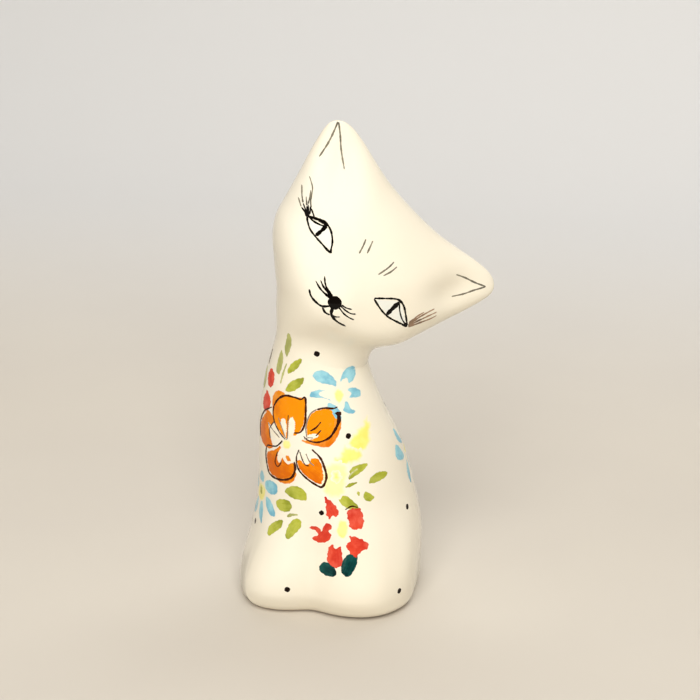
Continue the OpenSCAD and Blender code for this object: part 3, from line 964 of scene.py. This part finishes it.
def orange_flower(art):
    """The large flower on the chest: five petals, each with a painted outline."""
    art.weight = 0.78
    for petal in (
        ((-2, 14.7), (-5, 15.2), (-7.2, 13), (-7.4, 9.5), (-6, 6), (-4, 9), (-2, 12)),
        ((11, 12), (13.8, 8.5), (14, 5.3), (13, 2), (11.2, 0), (7.5, 0.3), (3.8, 1.2), (5, 2.2), (9, 4),
         (10, 8)),
        ((-5.5, -12.5), (-2, -13.2), (1.2, -12), (2.6, -9), (1, -8), (-2.5, -9.5)),
    ):
        art.fill("orange_wash", *petal)
    for tone, shade, *petal in (
        (0.1, 200, (-1.4, 1.2), (-3.8, 2.6), (-6.2, 5.5), (-6.6, 9), (-4.8, 12), (-2, 14), (1, 14.3),
         (4.6, 14.2), (4.7, 10.2), (4.4, 6.6), (3.2, 4), (1.5, 2.4), (0.5, 2.6)),
        (0.05, 250, (5.6, 3), (5.2, 6.6), (6.4, 9.7), (8.4, 11.2), (11.3, 11.7), (12.4, 9.7), (12.7, 6.8),
         (12, 3.6), (10.6, 1.8), (8.5, 1.3), (6.5, 1.8)),
        (0.7, 240, (-11, 6.5), (-9.5, 8), (-7, 6.8), (-6.4, 5), (-8.2, 2.4), (-7.8, -0.5), (-6.8, -2.6),
         (-8, -3.8), (-10.5, -4), (-13, -3.2), (-14.5, -1), (-14, 3)),
        (0.75, 235, (-3.6, -1.6), (-6, -3.4), (-9.7, -5.3), (-10, -8), (-8.7, -11.2), (-6, -12),
         (-2.4, -11.7), (0.5, -10.2), (1.8, -8), (1.4, -5.8), (-0.6, -6.6), (-2.2, -5.6), (-3.2, -3.5)),
        (0.65, 280, (4.2, -4.4), (2.6, -5), (3.4, -7.2), (5.5, -9.2), (8.6, -11), (10.2, -11.2),
         (10.8, -8.9), (10.2, -6), (9, -3.6), (7, -3.6), (6.2, -5), (5.2, -5.6)),
    ):
        art.fill("orange", *petal, tone=tone, shade=shade, layer=1)
    for petal in (
        ((-1.6, 1.2), (-3.2, 3.6), (-3.8, 6), (-2.6, 7.4), (-1.4, 6.4), (-1, 3.6)),
        ((-0.8, 1.6), (-0.8, 5), (-0.4, 7.6), (0.8, 8.2), (1.9, 6.6), (1.7, 3.6), (0.6, 2)),
        ((4.2, 1.6), (5.9, 3.6), (7.6, 4.2), (9, 3.6), (8, 2.4), (6, 1.7)),
        ((-9.4, 4.4), (-7.4, 3.6), (-5.2, 1.9), (-3.2, 0.4), (-5.9, 0.4), (-8.7, 2)),
        ((-2.6, -2), (-4.6, -3.6), (-5, -6.6), (-3.4, -7), (-2.4, -4.8), (-0.8, -3.4)),
        ((3.4, -1.8), (3.4, -4.2), (4.6, -5.6), (6.4, -5.6), (7, -4), (5.6, -2)),
    ):
        art.fill("white", *petal, layer=2)
    art.fill("yellow_dab", (-2.6, 0.4), (-1, 1), (0.6, 0.2), (0.4, -1.6), (-1.4, -2.4), (-2.8, -1.4),
             layer=3)
    art.fill("orange_wash", (-1.4, -4), (-0.2, -4), (0.7, -5.5), (-0.6, -5.8), (-1.4, -5), layer=3)
    for colour, widths, layer, *knots in (
        ("outline", (0.25, 0.5, 0.55, 0.8, 0.6, 0.65, 0.7, 0.4), 3, (-1.5, 0.7), (-3.8, 2.3), (-6.3, 5.4),
         (-6.8, 9), (-5, 12.2), (-2.1, 14.1), (1.2, 14.2), (3.4, 13.9), (4.7, 14.5), (4.9, 10.2),
         (4.7, 6.6), (3.5, 4), (1.2, 3.3)),
        ("outline_thin", (0.3, 0.35, 0.25), 4, (-1.4, 0.8), (-0.9, 1.4), (-0.8, 4), (-0.8, 7)),
        ("outline", (0.25, 0.3), 4, (-0.8, 6.5), (-0.7, 8.6)),
        ("outline_thin", (0.3, 0.3, 0.2), 4, (-1.5, 1.1), (-2.9, 4), (-4.6, 7)),
        ("outline_thin", (0.35, 0.3, 0.35), 3, (5.4, 2.6), (5.1, 6), (6.2, 9.7), (8, 11.4)),
        ("outline", (0.4, 0.6, 0.7, 0.35), 4, (8, 11.3), (10, 11.9), (12, 11.8), (13, 12.3)),
        ("outline", (1.2, 0.9, 0.7, 0.75, 0.6, 0.5, 0.3), 3, (13.2, 10.6), (13.4, 8), (12.7, 5.4),
         (11.6, 3.2), (9.8, 1.9), (7.8, 1.4), (5.6, 1.9), (4.4, 2.9)),
    ):
        art.line(colour, *knots, widths=widths, layer=layer)
    art.fill("outline", (12.3, 10.4), (13, 11), (13.8, 10.6), (13.9, 9.8), (13, 9.5), layer=4)
    art.line("outline", (6.3, 4.6), (7.9, 5.8), (9.3, 7.8), widths=(0.55, 0.5, 0.25), layer=4)
    art.line("outline", (7.9, 3.2), (9.4, 5.3), widths=(0.45, 0.25), layer=4)
    art.line("outline_thin", (4.6, 2), (6, 2.6), (7.4, 2.6), widths=(0.3, 0.3), layer=4)
    art.line("outline", (-3.1, -0.3), (-5, -2), (-7, -2.6), (-9.6, -3.2), (-10.6, -5.6), (-10.4, -8.4),
             (-9, -11.6), (-6, -12.4), (-2.4, -12), (0.7, -10.6), (2, -8), (1.7, -5.4),
             widths=(0.5, 0.35, 0.5, 0.8, 0.7, 0.8, 0.7, 0.9, 0.9), layer=3)
    art.dot("outline", -3, -0.2, 0.4, layer=4)
    for colour, widths, layer, *knots in (
        ("outline", (0.4, 0.4, 0.3), 4, (-4.6, -3.6), (-5.8, -7), (-4.8, -8.4), (-3.6, -7.4), (-3, -6)),
        ("outline", (0.3, 0.45, 0.6, 0.6, 0.8, 0.8, 0.6, 0.35), 3, (3.2, -1.4), (2.4, -4), (3, -7.2),
         (5.4, -9.6), (8.7, -11.6), (10.4, -11.9), (11.3, -9), (10.6, -5.8), (9.3, -3), (7, -0.8)),
        ("outline", (0.3, 0.35, 0.25), 4, (3.4, -1.9), (4.4, -4.4), (5.4, -5.8), (6.6, -5.9)),
        ("outline_thin", (0.3, 0.35, 0.25), 4, (5.3, -2.2), (6.6, -4.7), (8, -5.8)),
        ("outline", (0.25, 0.35, 0.3), 4, (-8, -0.6), (-8.4, 2.4), (-6.4, 5.2)),
        ("outline", (0.7, 0.8, 0.7, 0.5, 0.3), 3, (-14.3, -2), (-14.8, 1), (-14, 4), (-11.6, 7),
         (-9.3, 8.4), (-7.4, 9.4)),
        ("outline_thin", (0.25, 0.3), 4, (-9.4, 4.2), (-6.6, 2.4), (-3.8, 0.8)),
    ):
        art.line(colour, *knots, widths=widths, layer=layer)


def blue_flower(art):
    """The six-petalled flower high on the chest, towards the cat's left."""
    for shade, *petal in (
        (-40, (-0.6, 2.5), (-0.5, 4.2), (-2, 6.2), (-4.5, 7.8), (-6.8, 7.2), (-7.2, 5.5), (-5.6, 3.9),
         (-2.9, 3.2)),
        (20, (0.4, 3.2), (0.9, 5.6), (2.6, 7.7), (5.2, 8), (6, 6), (5.2, 3.9), (3.4, 2.9), (2.6, 4.6),
         (1.5, 4.2)),
        (0, (2.6, 1.4), (4.8, 1.7), (7.2, 0.4), (7, -1.5), (4.6, -1.5), (2.8, -1.1), (3.9, -0.2)),
        (-60, (1.8, -1.9), (3, -2.5), (3.7, -4.2), (5.4, -5.5), (3.6, -6.2), (1.2, -4.9), (1.6, -3.4)),
        (-90, (-3.3, -2.2), (-1.4, -2.6), (0.3, -4.5), (0.8, -7.3), (-1, -7.3), (-2.8, -5)),
        (200, (-3.2, 1.6), (-5.6, 1.9), (-7.8, 1.1), (-8.1, -0.4), (-6.2, -0.8), (-4.2, -1), (-1.8, -2),
         (-2.6, -1), (-5, 0.1), (-5.2, 0.9)),
    ):
        art.fill("blue", *petal, shade=shade)
    art.fill("yellow_dab", (-1.6, 0.6), (0, 2.1), (1.9, 0.4), (1.2, -1.8), (0, -3), (-1.2, -1.4), layer=1)


def green_sprig(art):
    """Leaves between the orange flower and the neck."""
    art.fill("sage", (2, 8), (2.2, 5.6), (1, 2.3), (-0.1, 0.8), (-1.2, 3), (-0.4, 5.8), (0.8, 8.4),
             shade=-90)
    art.fill("sage", (-2.6, 2.6), (-1.4, 0.2), (-1.9, -3), (-3, -5.2), (-4.6, -4.2), (-4.2, -1), shade=-90)
    art.fill("green", (4.9, 1.4), (5.4, 0.3), (3.7, -2.3), (1, -4.1), (0.3, -3.2), (2, -0.5), shade=-40)
    art.fill("green", (6, -4.4), (5.4, -6.7), (3.4, -8.7), (0.8, -9.7), (-0.2, -9), (1.3, -6.5),
             (3.8, -4.9), shade=30)
    art.line("sage", (0.1, -1), (-1.2, -4.3), (-2.2, -7.7), widths=(0.35, 0.8, 0.5), layer=0)


def yellow_spray(art):
    """Soft yellow strokes to the right of the orange flower."""
    art.fill("yellow", (7.2, 11.6), (8.6, 7.4), (8, 2.4), (5, 0.2), (1.2, 1.2), (0.8, 4.6), (3, 7.4),
             (5, 8.8), rough=(0.5, 3))
    art.fill("yellow", (5.4, 1.4), (4.8, -2.4), (1.6, -3.2), (-2.2, -3.4), (-4.2, -1.2), (-1.8, 0.8),
             (-0.6, 3.4), (2, 2.6), rough=(0.5, 3))
    art.fill("yellow_wash", (-1.1, -1.3), (1.1, -4.4), (0.6, -8.6), (-0.8, -12.6), (-4.8, -13.2),
             (-7.4, -10.2), (-7.5, -5), (-5.4, -1.8), layer=1, rough=(0.5, 3))
    art.fill("yellow", (-3.8, -4), (-1.4, -4.8), (-1.2, -7.6), (-3.4, -8.4), (-4.8, -6.4), layer=2,
             rough=(0.4, 3))


def right_leaves(art):
    """Leaves on the cat's left, above the red flower."""
    for shade, *outline in (
        (160, (2.3, 4.3), (1.2, 2.6), (-2, 0.8), (-3.9, 0), (-4.1, 2), (-2.7, 3.9), (-0.2, 4.5)),
        (200, (9.2, 0.3), (8.6, -1.3), (5.2, -2.2), (2.4, -2), (3, -0.2), (5.8, 1)),
        (270, (-1.4, -3.6), (-0.5, -4.3), (-0.9, -5.4), (-1.7, -4.7)),
        (220, (0.8, -4.2), (2.5, -4.8), (4.2, -6.6), (2.4, -7.7), (0.5, -6.4)),
        (-30, (-6.7, -4.6), (-4.7, -4.7), (-2.8, -6.4), (-1, -8.8), (-2.6, -9.6), (-5.4, -8.3), (-7, -6.3)),
    ):
        art.fill("green", *outline, shade=shade)
    art.line("green", (-1.3, -1), (-3.4, -1.5), (-5.7, -2.1), widths=(0.6, 1.1, 0.8), layer=0)
    art.line("sage", (-4, 0.6), (-3, 2), (-1, 3.2), widths=(0.3, 0.25), layer=1)


def red_flower(art):
    """The ragged red flower low on the chest, with two dark leaves under it."""
    ragged = (0.28, 2.4)
    art.fill("teal", (-7.4, -12.2), (-6, -10.4), (-4, -10.6), (-2.2, -12.6), (-2.7, -14.4), (-5.2, -14.6),
             (-7, -13.6), shade=-20)
    art.fill("teal", (0.6, -8), (2.6, -7), (4.1, -8.2), (3.6, -11.2), (1.4, -14.2), (-0.7, -13.2),
             (-0.8, -10.4), shade=200)
    for rough, shade, *outline in (
        (ragged, 100, (-5.7, 10.3), (-3.6, 8.8), (-1.7, 6.4), (-1.6, 4.2), (-3.4, 4), (-4.2, 3.1),
         (-5.1, 4.8), (-5.3, 8)),
        (ragged, 110, (2, 6.4), (4.7, 6.3), (5.9, 3.6), (5.6, 0.2), (2.2, 0.1), (1.4, 2.6), (0.9, 4.8)),
        ((0.16, 2), 70, (-10.2, 0), (-8.8, 0.8), (-6.9, 0.1), (-6.6, -0.9), (-5.5, 1.6), (-4, 1.8),
         (-3.4, 0.3), (-4.4, -0.5), (-3.6, -2), (-4.8, -4), (-7.4, -4.6), (-9.4, -3.2), (-7.6, -2),
         (-8.4, -0.8)),
        ((0.18, 2), -20, (-4.4, -5.6), (-3.2, -4.6), (-2.4, -6), (-1, -5), (-0.4, -8), (-0.6, -10.8),
         (-2.8, -11.8), (-4.9, -10.2), (-4.8, -7.4)),
        (ragged, 30, (1.7, -1.9), (4.6, -2.7), (7.4, -4.6), (7, -6), (5, -6.9), (3.6, -8.6), (1.9, -7.2),
         (0.6, -4.7), (1.9, -3.6)),
    ):
        art.fill("red", *outline, rough=rough, shade=shade, layer=1)
    art.fill("yellow_dab", (-2.2, 1), (-1.2, 3), (1, 2.6), (1.6, 0), (0.8, -2.4), (-0.8, -3), (-2.2, -1.4),
             layer=0)
    art.line("outline", (0.4, 6), (2.4, 7), (4.4, 6.4), widths=(0.2, 0.45, 0.2), layer=2)


def left_blue_flower(art):
    """The blue flower on the cat's right, half round the side."""
    for shade, *petal in (
        (-30, (-2, 3.7), (1.5, 5.4), (5, 4.9), (5, 2), (1.5, 0.7), (-1.6, 1.5)),
        (-70, (-1.1, -0.8), (1.6, -0.8), (4.2, -2.9), (5.2, -5), (2.6, -5.6), (-0.6, -3.6)),
        (-90, (-4, -2.9), (-2.3, -4.8), (-1.8, -8), (-1.5, -10), (-5, -8.2), (-5.7, -5)),
        (90, (-5.2, 6.3), (-2.8, 5.3), (-3.6, 2.7), (-8, 3.2)),
        (180, (-8, 0.8), (-11, 2.6), (-14, 1.8), (-13.6, -0.4), (-10.6, -1.4)),
        (220, (-7.6, -3), (-9.6, -4.6), (-12, -8), (-10, -9.4), (-7.4, -7)),
    ):
        art.fill("blue", *petal, shade=shade)
    art.fill("yellow_dab", (-4.8, 2.4), (-1.4, 1.4), (-2.2, -2), (-5.2, -3.8), (-9, -2.4), (-8, 1), layer=1)
    art.fill("green", (-5.6, 1.4), (-4, 0.6), (-4.2, -1.4), (-5.8, -1.4), (-6.4, 0.2), layer=2)


def left_leaves(art):
    """Leaves under the orange flower."""
    art.fill("green", (-1.4, 4.9), (1.2, 7.2), (4.1, 7.4), (6.2, 6), (6.4, 3.6), (4.4, 3.2), (1.4, 3.3),
             shade=180)
    art.fill("green", (-5.2, 0.3), (-3.4, 1.9), (0.2, 2.4), (1.6, 0.7), (0.2, -1.4), (-3.4, -1.7), shade=0)
    art.line("sage", (-0.2, -2.9), (1.5, -1.9), (3.7, -1.5), widths=(0.9, 1.0, 0.5), layer=0)
    art.fill("green", (-7.4, -9.8), (-7, -7.4), (-4.1, -5), (-1.5, -4.2), (-1.8, -6.6), (-4.3, -8.9),
             (-6.2, -10.4), shade=45)
    art.fill("green", (-0.2, -9), (0.3, -5.8), (2.2, -3), (4.3, -2.8), (4.7, -5), (3, -7.6), (1.2, -9.6),
             shade=230)


def left_reds(art):
    """Red buds at the edge of the cat's right side."""
    for outline in (
        ((-0.6, 3), (1, 2.6), (2.1, 1.4), (1.9, -1.2), (0.4, -2.8), (-1.6, -2.2), (-2.3, 0.6)),
        ((-1.9, -4), (0.2, -5.4), (1, -7.2), (0, -9.6), (-2.4, -11), (-4.6, -9.6), (-4.4, -7), (-3, -5.4)),
    ):
        art.fill("red", *outline, rough=(0.2, 2))
    art.line("outline", (-2.4, 8.4), (-3, 6), (-3.4, 3.4), widths=(0.3, 0.9, 0.4))
    art.fill("sage", (-4.4, 2.6), (-3.4, 0.4), (-3.6, -3), (-5.6, -4.8), (-7.4, -2), (-6.4, 1.6),
             rough=(0.15, 2))


def right_blue_flower(art):
    """The blue flower half round the cat's left side."""
    for shade, *petal in (
        (-60, (-0.6, 8.6), (1.2, 8), (3.2, 5.6), (6, 3), (4.6, 2.2), (2, 3.2), (0, 5)),
        (-40, (-2.2, 4), (-0.2, 3.4), (1.8, 1.2), (3.6, -1), (2.4, -2), (0, -1.7), (-2.4, -0.6),
         (-3.2, 1.4)),
        (-90, (5.6, -3.2), (6.8, -5), (7.2, -8), (6.4, -11.2), (4.6, -9.6), (3.6, -6.8), (4.2, -4.4)),
        (-50, (9, -2.6), (11, -3.4), (13.4, -6.8), (12, -8.2), (9.2, -6)),
        (0, (9.6, 0.6), (12.2, 1.8), (15.6, 1.2), (15.2, -0.8), (12, -1.2)),
        (80, (8.4, 3), (10.4, 5.4), (10.6, 8.4), (8.8, 8), (7.6, 5.2)),
    ):
        art.fill("blue", *petal, shade=shade)
    art.fill("yellow_dab", (5.4, 0.8), (7.2, 2), (8.8, 0.8), (8.4, -1.2), (6.6, -1.8), (5.2, -0.8), layer=1)


def dots():
    """Marks for the single black dots between the flowers; the last six, on the back, are a guess."""
    big, small = 0.95, 0.85
    marks = []
    for angle, ring, radius in (
        (277, 84, big), (301.5, 60, big), (275, 35, small), (345, 31.5, big), (325, 9, big),
        (256, 10, big), (211, 25, big), (20, 66, big), (70, 76, big), (142, 70, big),
        (160, 52, big), (52, 13, big), (62, 46, big),
    ):
        art = Painter(on_body(angle, ring))
        art.dot("dot", 0, 0, radius)
        marks += art.marks
    return marks


# ---- the motifs on the face ----

def cats_right_eye(art):
    """The eye on the left of the photograph, with its long lashes."""
    art.fill("eye_white", (-22.3, 3.2), (-20, 4), (-18, 5.2), (-15.7, 5.4), (-13.6, 3.9), (-12.1, 2),
             (-15, 1.6), (-19.9, 1.9), (-21.6, 2.6), rough=(0.05, 2))
    for widths, layer, *knots in (
        ((0.5, 0.55, 0.8, 0.5, 0.42, 0.42, 0.4, 0.55), 1, (-23.1, 3.4), (-21, 4.7), (-19.3, 5.7),
         (-17.8, 6.1), (-15.7, 5.6), (-13.5, 4), (-12.2, 2.2), (-11.4, 1.3)),
        ((0.6, 0.45, 0.38, 0.38, 0.38, 0.4, 0.5), 1, (-11.5, 1.4), (-13, 1.3), (-15, 1.35), (-17.7, 1.4),
         (-19.9, 1.7), (-21.8, 2.7), (-22.9, 3.6)),
        ((0.4, 0.4, 0.42, 0.4), 1, (-22.9, 3.7), (-20.7, 3.9), (-19, 4.5), (-17.6, 5.3)),
        ((0.4, 0.7, 0.5), 2, (-20.2, 5), (-18.8, 5.6), (-17.3, 5.7)),
        ((1.3, 1.1, 1.3), 2, (-17.5, 5.8), (-17.5, 3.8), (-17.6, 1.6)),
    ):
        art.line("ink", *knots, widths=widths, layer=layer)
    art.fill("ink", (-23.5, 3.2), (-22.8, 3.2), (-22.4, 4), (-22.8, 4.6), (-23.6, 4.6), (-24, 4), layer=2)
    for knots in (
        ((-23.3, 3.8), (-25.3, 3.9), (-27.4, 5)),
        ((-23.6, 4.1), (-25.7, 5), (-27.2, 6.2), (-29, 8.1)),
        ((-23.3, 4.1), (-24.6, 5.3), (-26.4, 6.9)),
        ((-23, 4.2), (-24.7, 5.9), (-25.8, 7.8), (-26.7, 9.1)),
        ((-22.6, 4.3), (-24, 6.2), (-25.3, 7.3)),
        ((-21.3, 4.8), (-23.5, 5.8), (-25, 7.2), (-26.6, 9.6), (-28.4, 10.8), (-29.3, 11.2)),
    ):
        art.line("ink", *knots[:2], widths=(0.42, 0.26), layer=3)
        art.line("grey_ink", *knots[1:] if len(knots) > 2 else knots, widths=(0.28, 0.22, 0.14), layer=2)


def cats_left_eye(art):
    """The eye on the right of the photograph, with brown lashes."""
    art.fill("eye_white", (6.9, 1.4), (8.7, 3), (11, 5), (12.6, 5.5), (14.6, 5.2), (17.2, 3.7), (19.5, 2.2),
             (16.6, 1.2), (13.5, 0.5), (10.3, 0.6), rough=(0.05, 2))
    for widths, layer, *knots in (
        ((0.5, 0.4, 0.4, 0.55, 0.42, 0.42, 0.45), 1, (6.2, 1.3), (8.5, 3.3), (10.9, 5.3), (12.5, 5.9),
         (14.7, 5.5), (17.3, 4), (20.2, 2.1)),
        ((0.45, 0.36, 0.42), 1, (12.7, 5.4), (14.9, 3.7), (17.4, 2.5), (20, 2.1)),
        ((0.7, 0.45, 0.4, 0.38, 0.5), 1, (20.4, 2), (16.7, 1), (13.5, 0.3), (10.3, 0.4), (6.3, 1.2)),
        ((1.6, 1.5, 1.6), 2, (12.6, 5.6), (12.6, 3), (12.7, 0.4)),
    ):
        art.line("ink", *knots, widths=widths, layer=layer)
    for knots in (
        ((19.9, 3), (20, 4.6), (20.2, 6.4), (20.9, 8.4)),
        ((20.2, 2.5), (20.5, 4.7), (21.1, 7), (22, 9.2), (22.9, 11)),
        ((20.4, 2.3), (21.1, 4.3), (22, 6.4), (23.2, 8.8), (24.3, 10.8)),
        ((20.6, 2.1), (21.8, 4), (22.9, 5.9), (24.3, 8.2), (25.1, 10)),
    ):
        art.line("brown_ink", *knots, widths=(0.6, 0.5, 0.4, 0.3, 0.16), layer=2)


def muzzle(art):
    """Nose, mouth and whiskers."""
    art.fill("ink", (-3.4, -7.2), (-2.8, -5.8), (-1.4, -5.2), (0.1, -5.7), (0.7, -7), (0.2, -8.4),
             (-1.2, -9), (-2.8, -8.5), layer=2, rough=(0.06, 2))
    for widths, *knots in (
        ((0.85, 0.7, 0.5, 0.4, 0.3), (-0.9, -8.3), (0.3, -10), (2.1, -10.5), (4.1, -10.4), (6.4, -9.8)),
        ((0.5, 0.5, 0.5, 0.42, 0.3), (-1.6, -8.7), (-3, -10.4), (-4.7, -10.9), (-6.8, -10.8), (-8.6, -9.8)),
        ((0.4, 0.45, 0.4), (-2.7, -10.5), (-1.1, -11), (0.4, -10.5)),
        ((0.4, 0.3, 0.25), (0.5, -10.3), (1.8, -9.8), (2.8, -8.9)),
    ):
        art.line("ink", *knots, widths=widths)
    for knots in (((-3, -7.1), (-5.6, -7.4), (-7.3, -7.3), (-9.2, -6.8)),
                  ((-3, -6.7), (-5.1, -6.5), (-6.8, -6.3), (-8.4, -5.7)),
                  ((-3, -6.3), (-5.5, -6), (-7, -5.3), (-8.4, -4.1))):
        art.line("ink", *knots, widths=(0.55, 0.45, 0.38, 0.2), layer=1)
    for knots in (((0.4, -6.2), (2, -5.9), (3.7, -5.1)), ((0.4, -6.6), (2.6, -6.5), (4.4, -6.1), (5.6, -5.3)),
                  ((0.4, -7.2), (2.9, -7.5), (4.9, -7.3), (6.5, -6.8))):
        art.line("ink", *knots, widths=(0.3, 0.28, 0.2), layer=1)


def brow_and_ears(art):
    """The pale marks over the nose and the two lines inside each ear."""
    for knots in (((-7.5, 11.2), (-6.7, 9.3), (-6, 7)), ((-5.7, 12.2), (-5.1, 10.5), (-4.4, 8.6)),
                  ((2.9, 12.4), (2.8, 10), (2.1, 6.7)), ((4.5, 12), (4.2, 9.8), (3.4, 7.5))):
        art.line("grey_ink", *knots, widths=(0.2, 0.34, 0.26))
    for knots in (((-33.9, 27.3), (-33, 24.8), (-31.9, 21.3), (-31, 16.8)),
                  ((-33.7, 27.4), (-31, 25.2), (-28, 22.6), (-23.8, 19.6)),
                  ((31.2, 25.6), (27.3, 24.1), (23.9, 23.1), (20.9, 22)),
                  ((31.2, 25.6), (29.1, 22.5), (27.3, 19.5), (24.9, 16.6))):
        art.line("grey_ink", *knots, widths=(0.28, 0.36, 0.34, 0.2))


# ---- where each motif goes ----

def painted(motif, place, name, slot, colours):
    """One motif at a place, as a piece."""
    art = Painter(place)
    motif(art)
    painting(name, slot, colours, art.marks)


def front_of_body(colours):
    """The painting on the body that the photograph shows: angle round the body and height of each."""
    for motif, angle, ring in (
        (orange_flower, 251, 54.5), (blue_flower, 300, 73), (green_sprig, 239, 78),
        (yellow_spray, 296, 53.5), (right_leaves, 306, 45.5), (red_flower, 290, 30),
        (left_blue_flower, 226, 36), (left_leaves, 249, 35), (left_reds, 218, 69.5),
        (right_blue_flower, 353, 49),
    ):
        painted(motif, on_body(angle, ring), motif.__name__, "body_glaze", colours)


def back_of_body(colours):
    """The painting that it doesn't show: the same motifs by the same hand, turned, as a guess."""
    for name, motif, angle, ring, turn in (
        ("back_orange_flower", orange_flower, 112, 53, 65),
        ("back_blue_flower", blue_flower, 62, 66, 25),
        ("back_sprig", green_sprig, 128, 77, -10),
        ("back_yellow_spray", yellow_spray, 152, 56, -20),
        ("back_red_flower", red_flower, 166, 35, 8),
        ("back_leaves", left_leaves, 100, 31, -30),
        ("back_twig", right_leaves, 75, 46, 20),
        ("side_red_flower", red_flower, 46, 31, -12),
    ):
        painted(motif, on_body(angle, ring, turn), name, "body_glaze", colours)


def face(colours):
    """The painting on the head."""
    for motif in (cats_right_eye, cats_left_eye, muzzle, brow_and_ears):
        painted(motif, on_face, motif.__name__, "head_glaze", colours)


# ---- camera, light and floor ----

def aimed(made, place, aim):
    """Puts a camera or lamp in the scene at a place, looking at its aim."""
    made.location = place
    made.rotation_mode = "QUATERNION"
    made.rotation_quaternion = (Vector(aim) - Vector(place)).to_track_quat("-Z", "Y")
    bpy.context.scene.collection.objects.link(made)


def camera():
    """The photograph's view: a little to the cat's left and above."""
    turn, rise, far = math.radians(14), math.radians(17), 0.480
    aside, aim_height = 0.005, 0.077
    aim = Vector((aside * math.cos(turn), aside * math.sin(turn), aim_height))
    back = Vector((math.sin(turn) * math.cos(rise), -math.cos(turn) * math.cos(rise), math.sin(rise)))
    data = bpy.data.cameras.new("camera")
    data.lens, data.sensor_width = 81.5, 36
    data.clip_start, data.clip_end = 0.01, 20
    made = bpy.data.objects.new("camera", data)
    aimed(made, aim + back * far, aim)
    bpy.context.scene.camera = made


def soft_light(name, place, aim, size, power, colour, shine):
    """A rectangular lamp. Without shine it lights the clay but isn't seen in the glaze."""
    data = bpy.data.lights.new(name, "AREA")
    data.shape, data.size, data.size_y = "RECTANGLE", size[0], size[1]
    data.energy, data.color = power, colour
    made = bpy.data.objects.new(name, data)
    made.visible_glossy = shine
    aimed(made, place, aim)


def sweep(material):
    """A pale floor that curves up into a backdrop well behind the cat."""
    front, bend_from, bend, top, half_width = -2.0, 0.55, 0.4, 1.6, 2.2
    curve_up = [(bend_from + bend * math.sin(a), bend - bend * math.cos(a))
                for a in np.linspace(0, math.pi / 2, 16)]
    profile = [(front, 0.0)] + curve_up + [(bend_from + bend, top)]
    points = [(x, y, z) for y, z in profile for x in (-half_width, half_width)]
    faces = [(2 * i, 2 * i + 1, 2 * i + 3, 2 * i + 2) for i in range(len(profile) - 1)]
    mesh = bpy.data.meshes.new("floor")
    mesh.from_pydata(points, [], faces)
    mesh.polygons.foreach_set("use_smooth", [True] * len(faces))
    mesh.materials.append(material)
    floor = bpy.data.objects.new("floor", mesh)
    bpy.context.scene.collection.objects.link(floor)


FLOOR_LIGHT, FLOOR_DARK = (0.67, 0.630, 0.565), (0.65, 0.610, 0.550)
BACKDROP = (0.735, 0.74, 0.745)
RISE_FROM, RISE_TO = 0.10, 0.60       # metres behind the cat where the floor turns whiter
FLOOR_CLOUDS = 9                      # in a metre
FLOOR_ROUGHNESS = 0.85
SURROUND = (1.0, 0.85, 0.68)
SURROUND_STRENGTH = 0.19


def floor_material():
    """Warm pale floor, whiter where it rises behind the cat, in faint soft clouds."""
    material, tree, shader, place = new_material("pale_floor")
    cloud = ramp(tree, noise(tree, place, FLOOR_CLOUDS, 2.0), 0.3, 0.7)
    ground = mix_colour(tree, cloud, rgba(FLOOR_LIGHT), rgba(FLOOR_DARK))
    depth = node(tree, "ShaderNodeSeparateXYZ", Vector=place).outputs["Y"]
    wall = ramp(tree, depth, RISE_FROM, RISE_TO)
    tree.links.new(mix_colour(tree, wall, ground, rgba(BACKDROP)), shader.inputs["Base Color"])
    shader.inputs["Roughness"].default_value = FLOOR_ROUGHNESS
    return material


def studio():
    """A pale floor, a whiter backdrop, a dim warm surround, and soft light from high in front."""
    sweep(floor_material())
    world = bpy.data.worlds.new("surround")
    world.use_nodes = True
    background = world.node_tree.nodes["Background"]
    background.inputs["Color"].default_value = rgba(SURROUND)
    background.inputs["Strength"].default_value = SURROUND_STRENGTH
    bpy.context.scene.world = world
    cat, backdrop = (0, 0, 0.08), (0, 0.95, 0.35)
    for name, place, aim, size, power, colour, shine in (
        ("key", (0.29, -1.33, 1.20), cat, (1.20, 1.20), 33.5, (1.0, 0.975, 0.925), False),
        ("window", (-0.75, -0.70, 0.95), cat, (0.80, 0.80), 1.0, (1.0, 0.99, 0.97), True),
        ("back", (0.45, 0.90, 0.95), cat, (0.80, 0.80), 1.4, (1.0, 0.98, 0.95), False),
        ("wash", (0.0, 0.60, 1.60), backdrop, (1.8, 0.6), 7.0, (1.0, 0.99, 0.97), True),
    ):
        soft_light(name, place, aim, size, power, colour, shine)
    settings = bpy.context.scene.view_settings
    settings.view_transform = "Standard"
    settings.look = "None"


def main():
    camera()
    studio()
    glaze = glaze_material()
    castings(glaze, biscuit_material("bare_biscuit", 0.0), biscuit_material("slip", 0.08))
    tail(glaze)
    colours = pigments()
    front_of_body(colours)
    painting("dots", "body_glaze", colours, dots())
    back_of_body(colours)
    face(colours)


main()
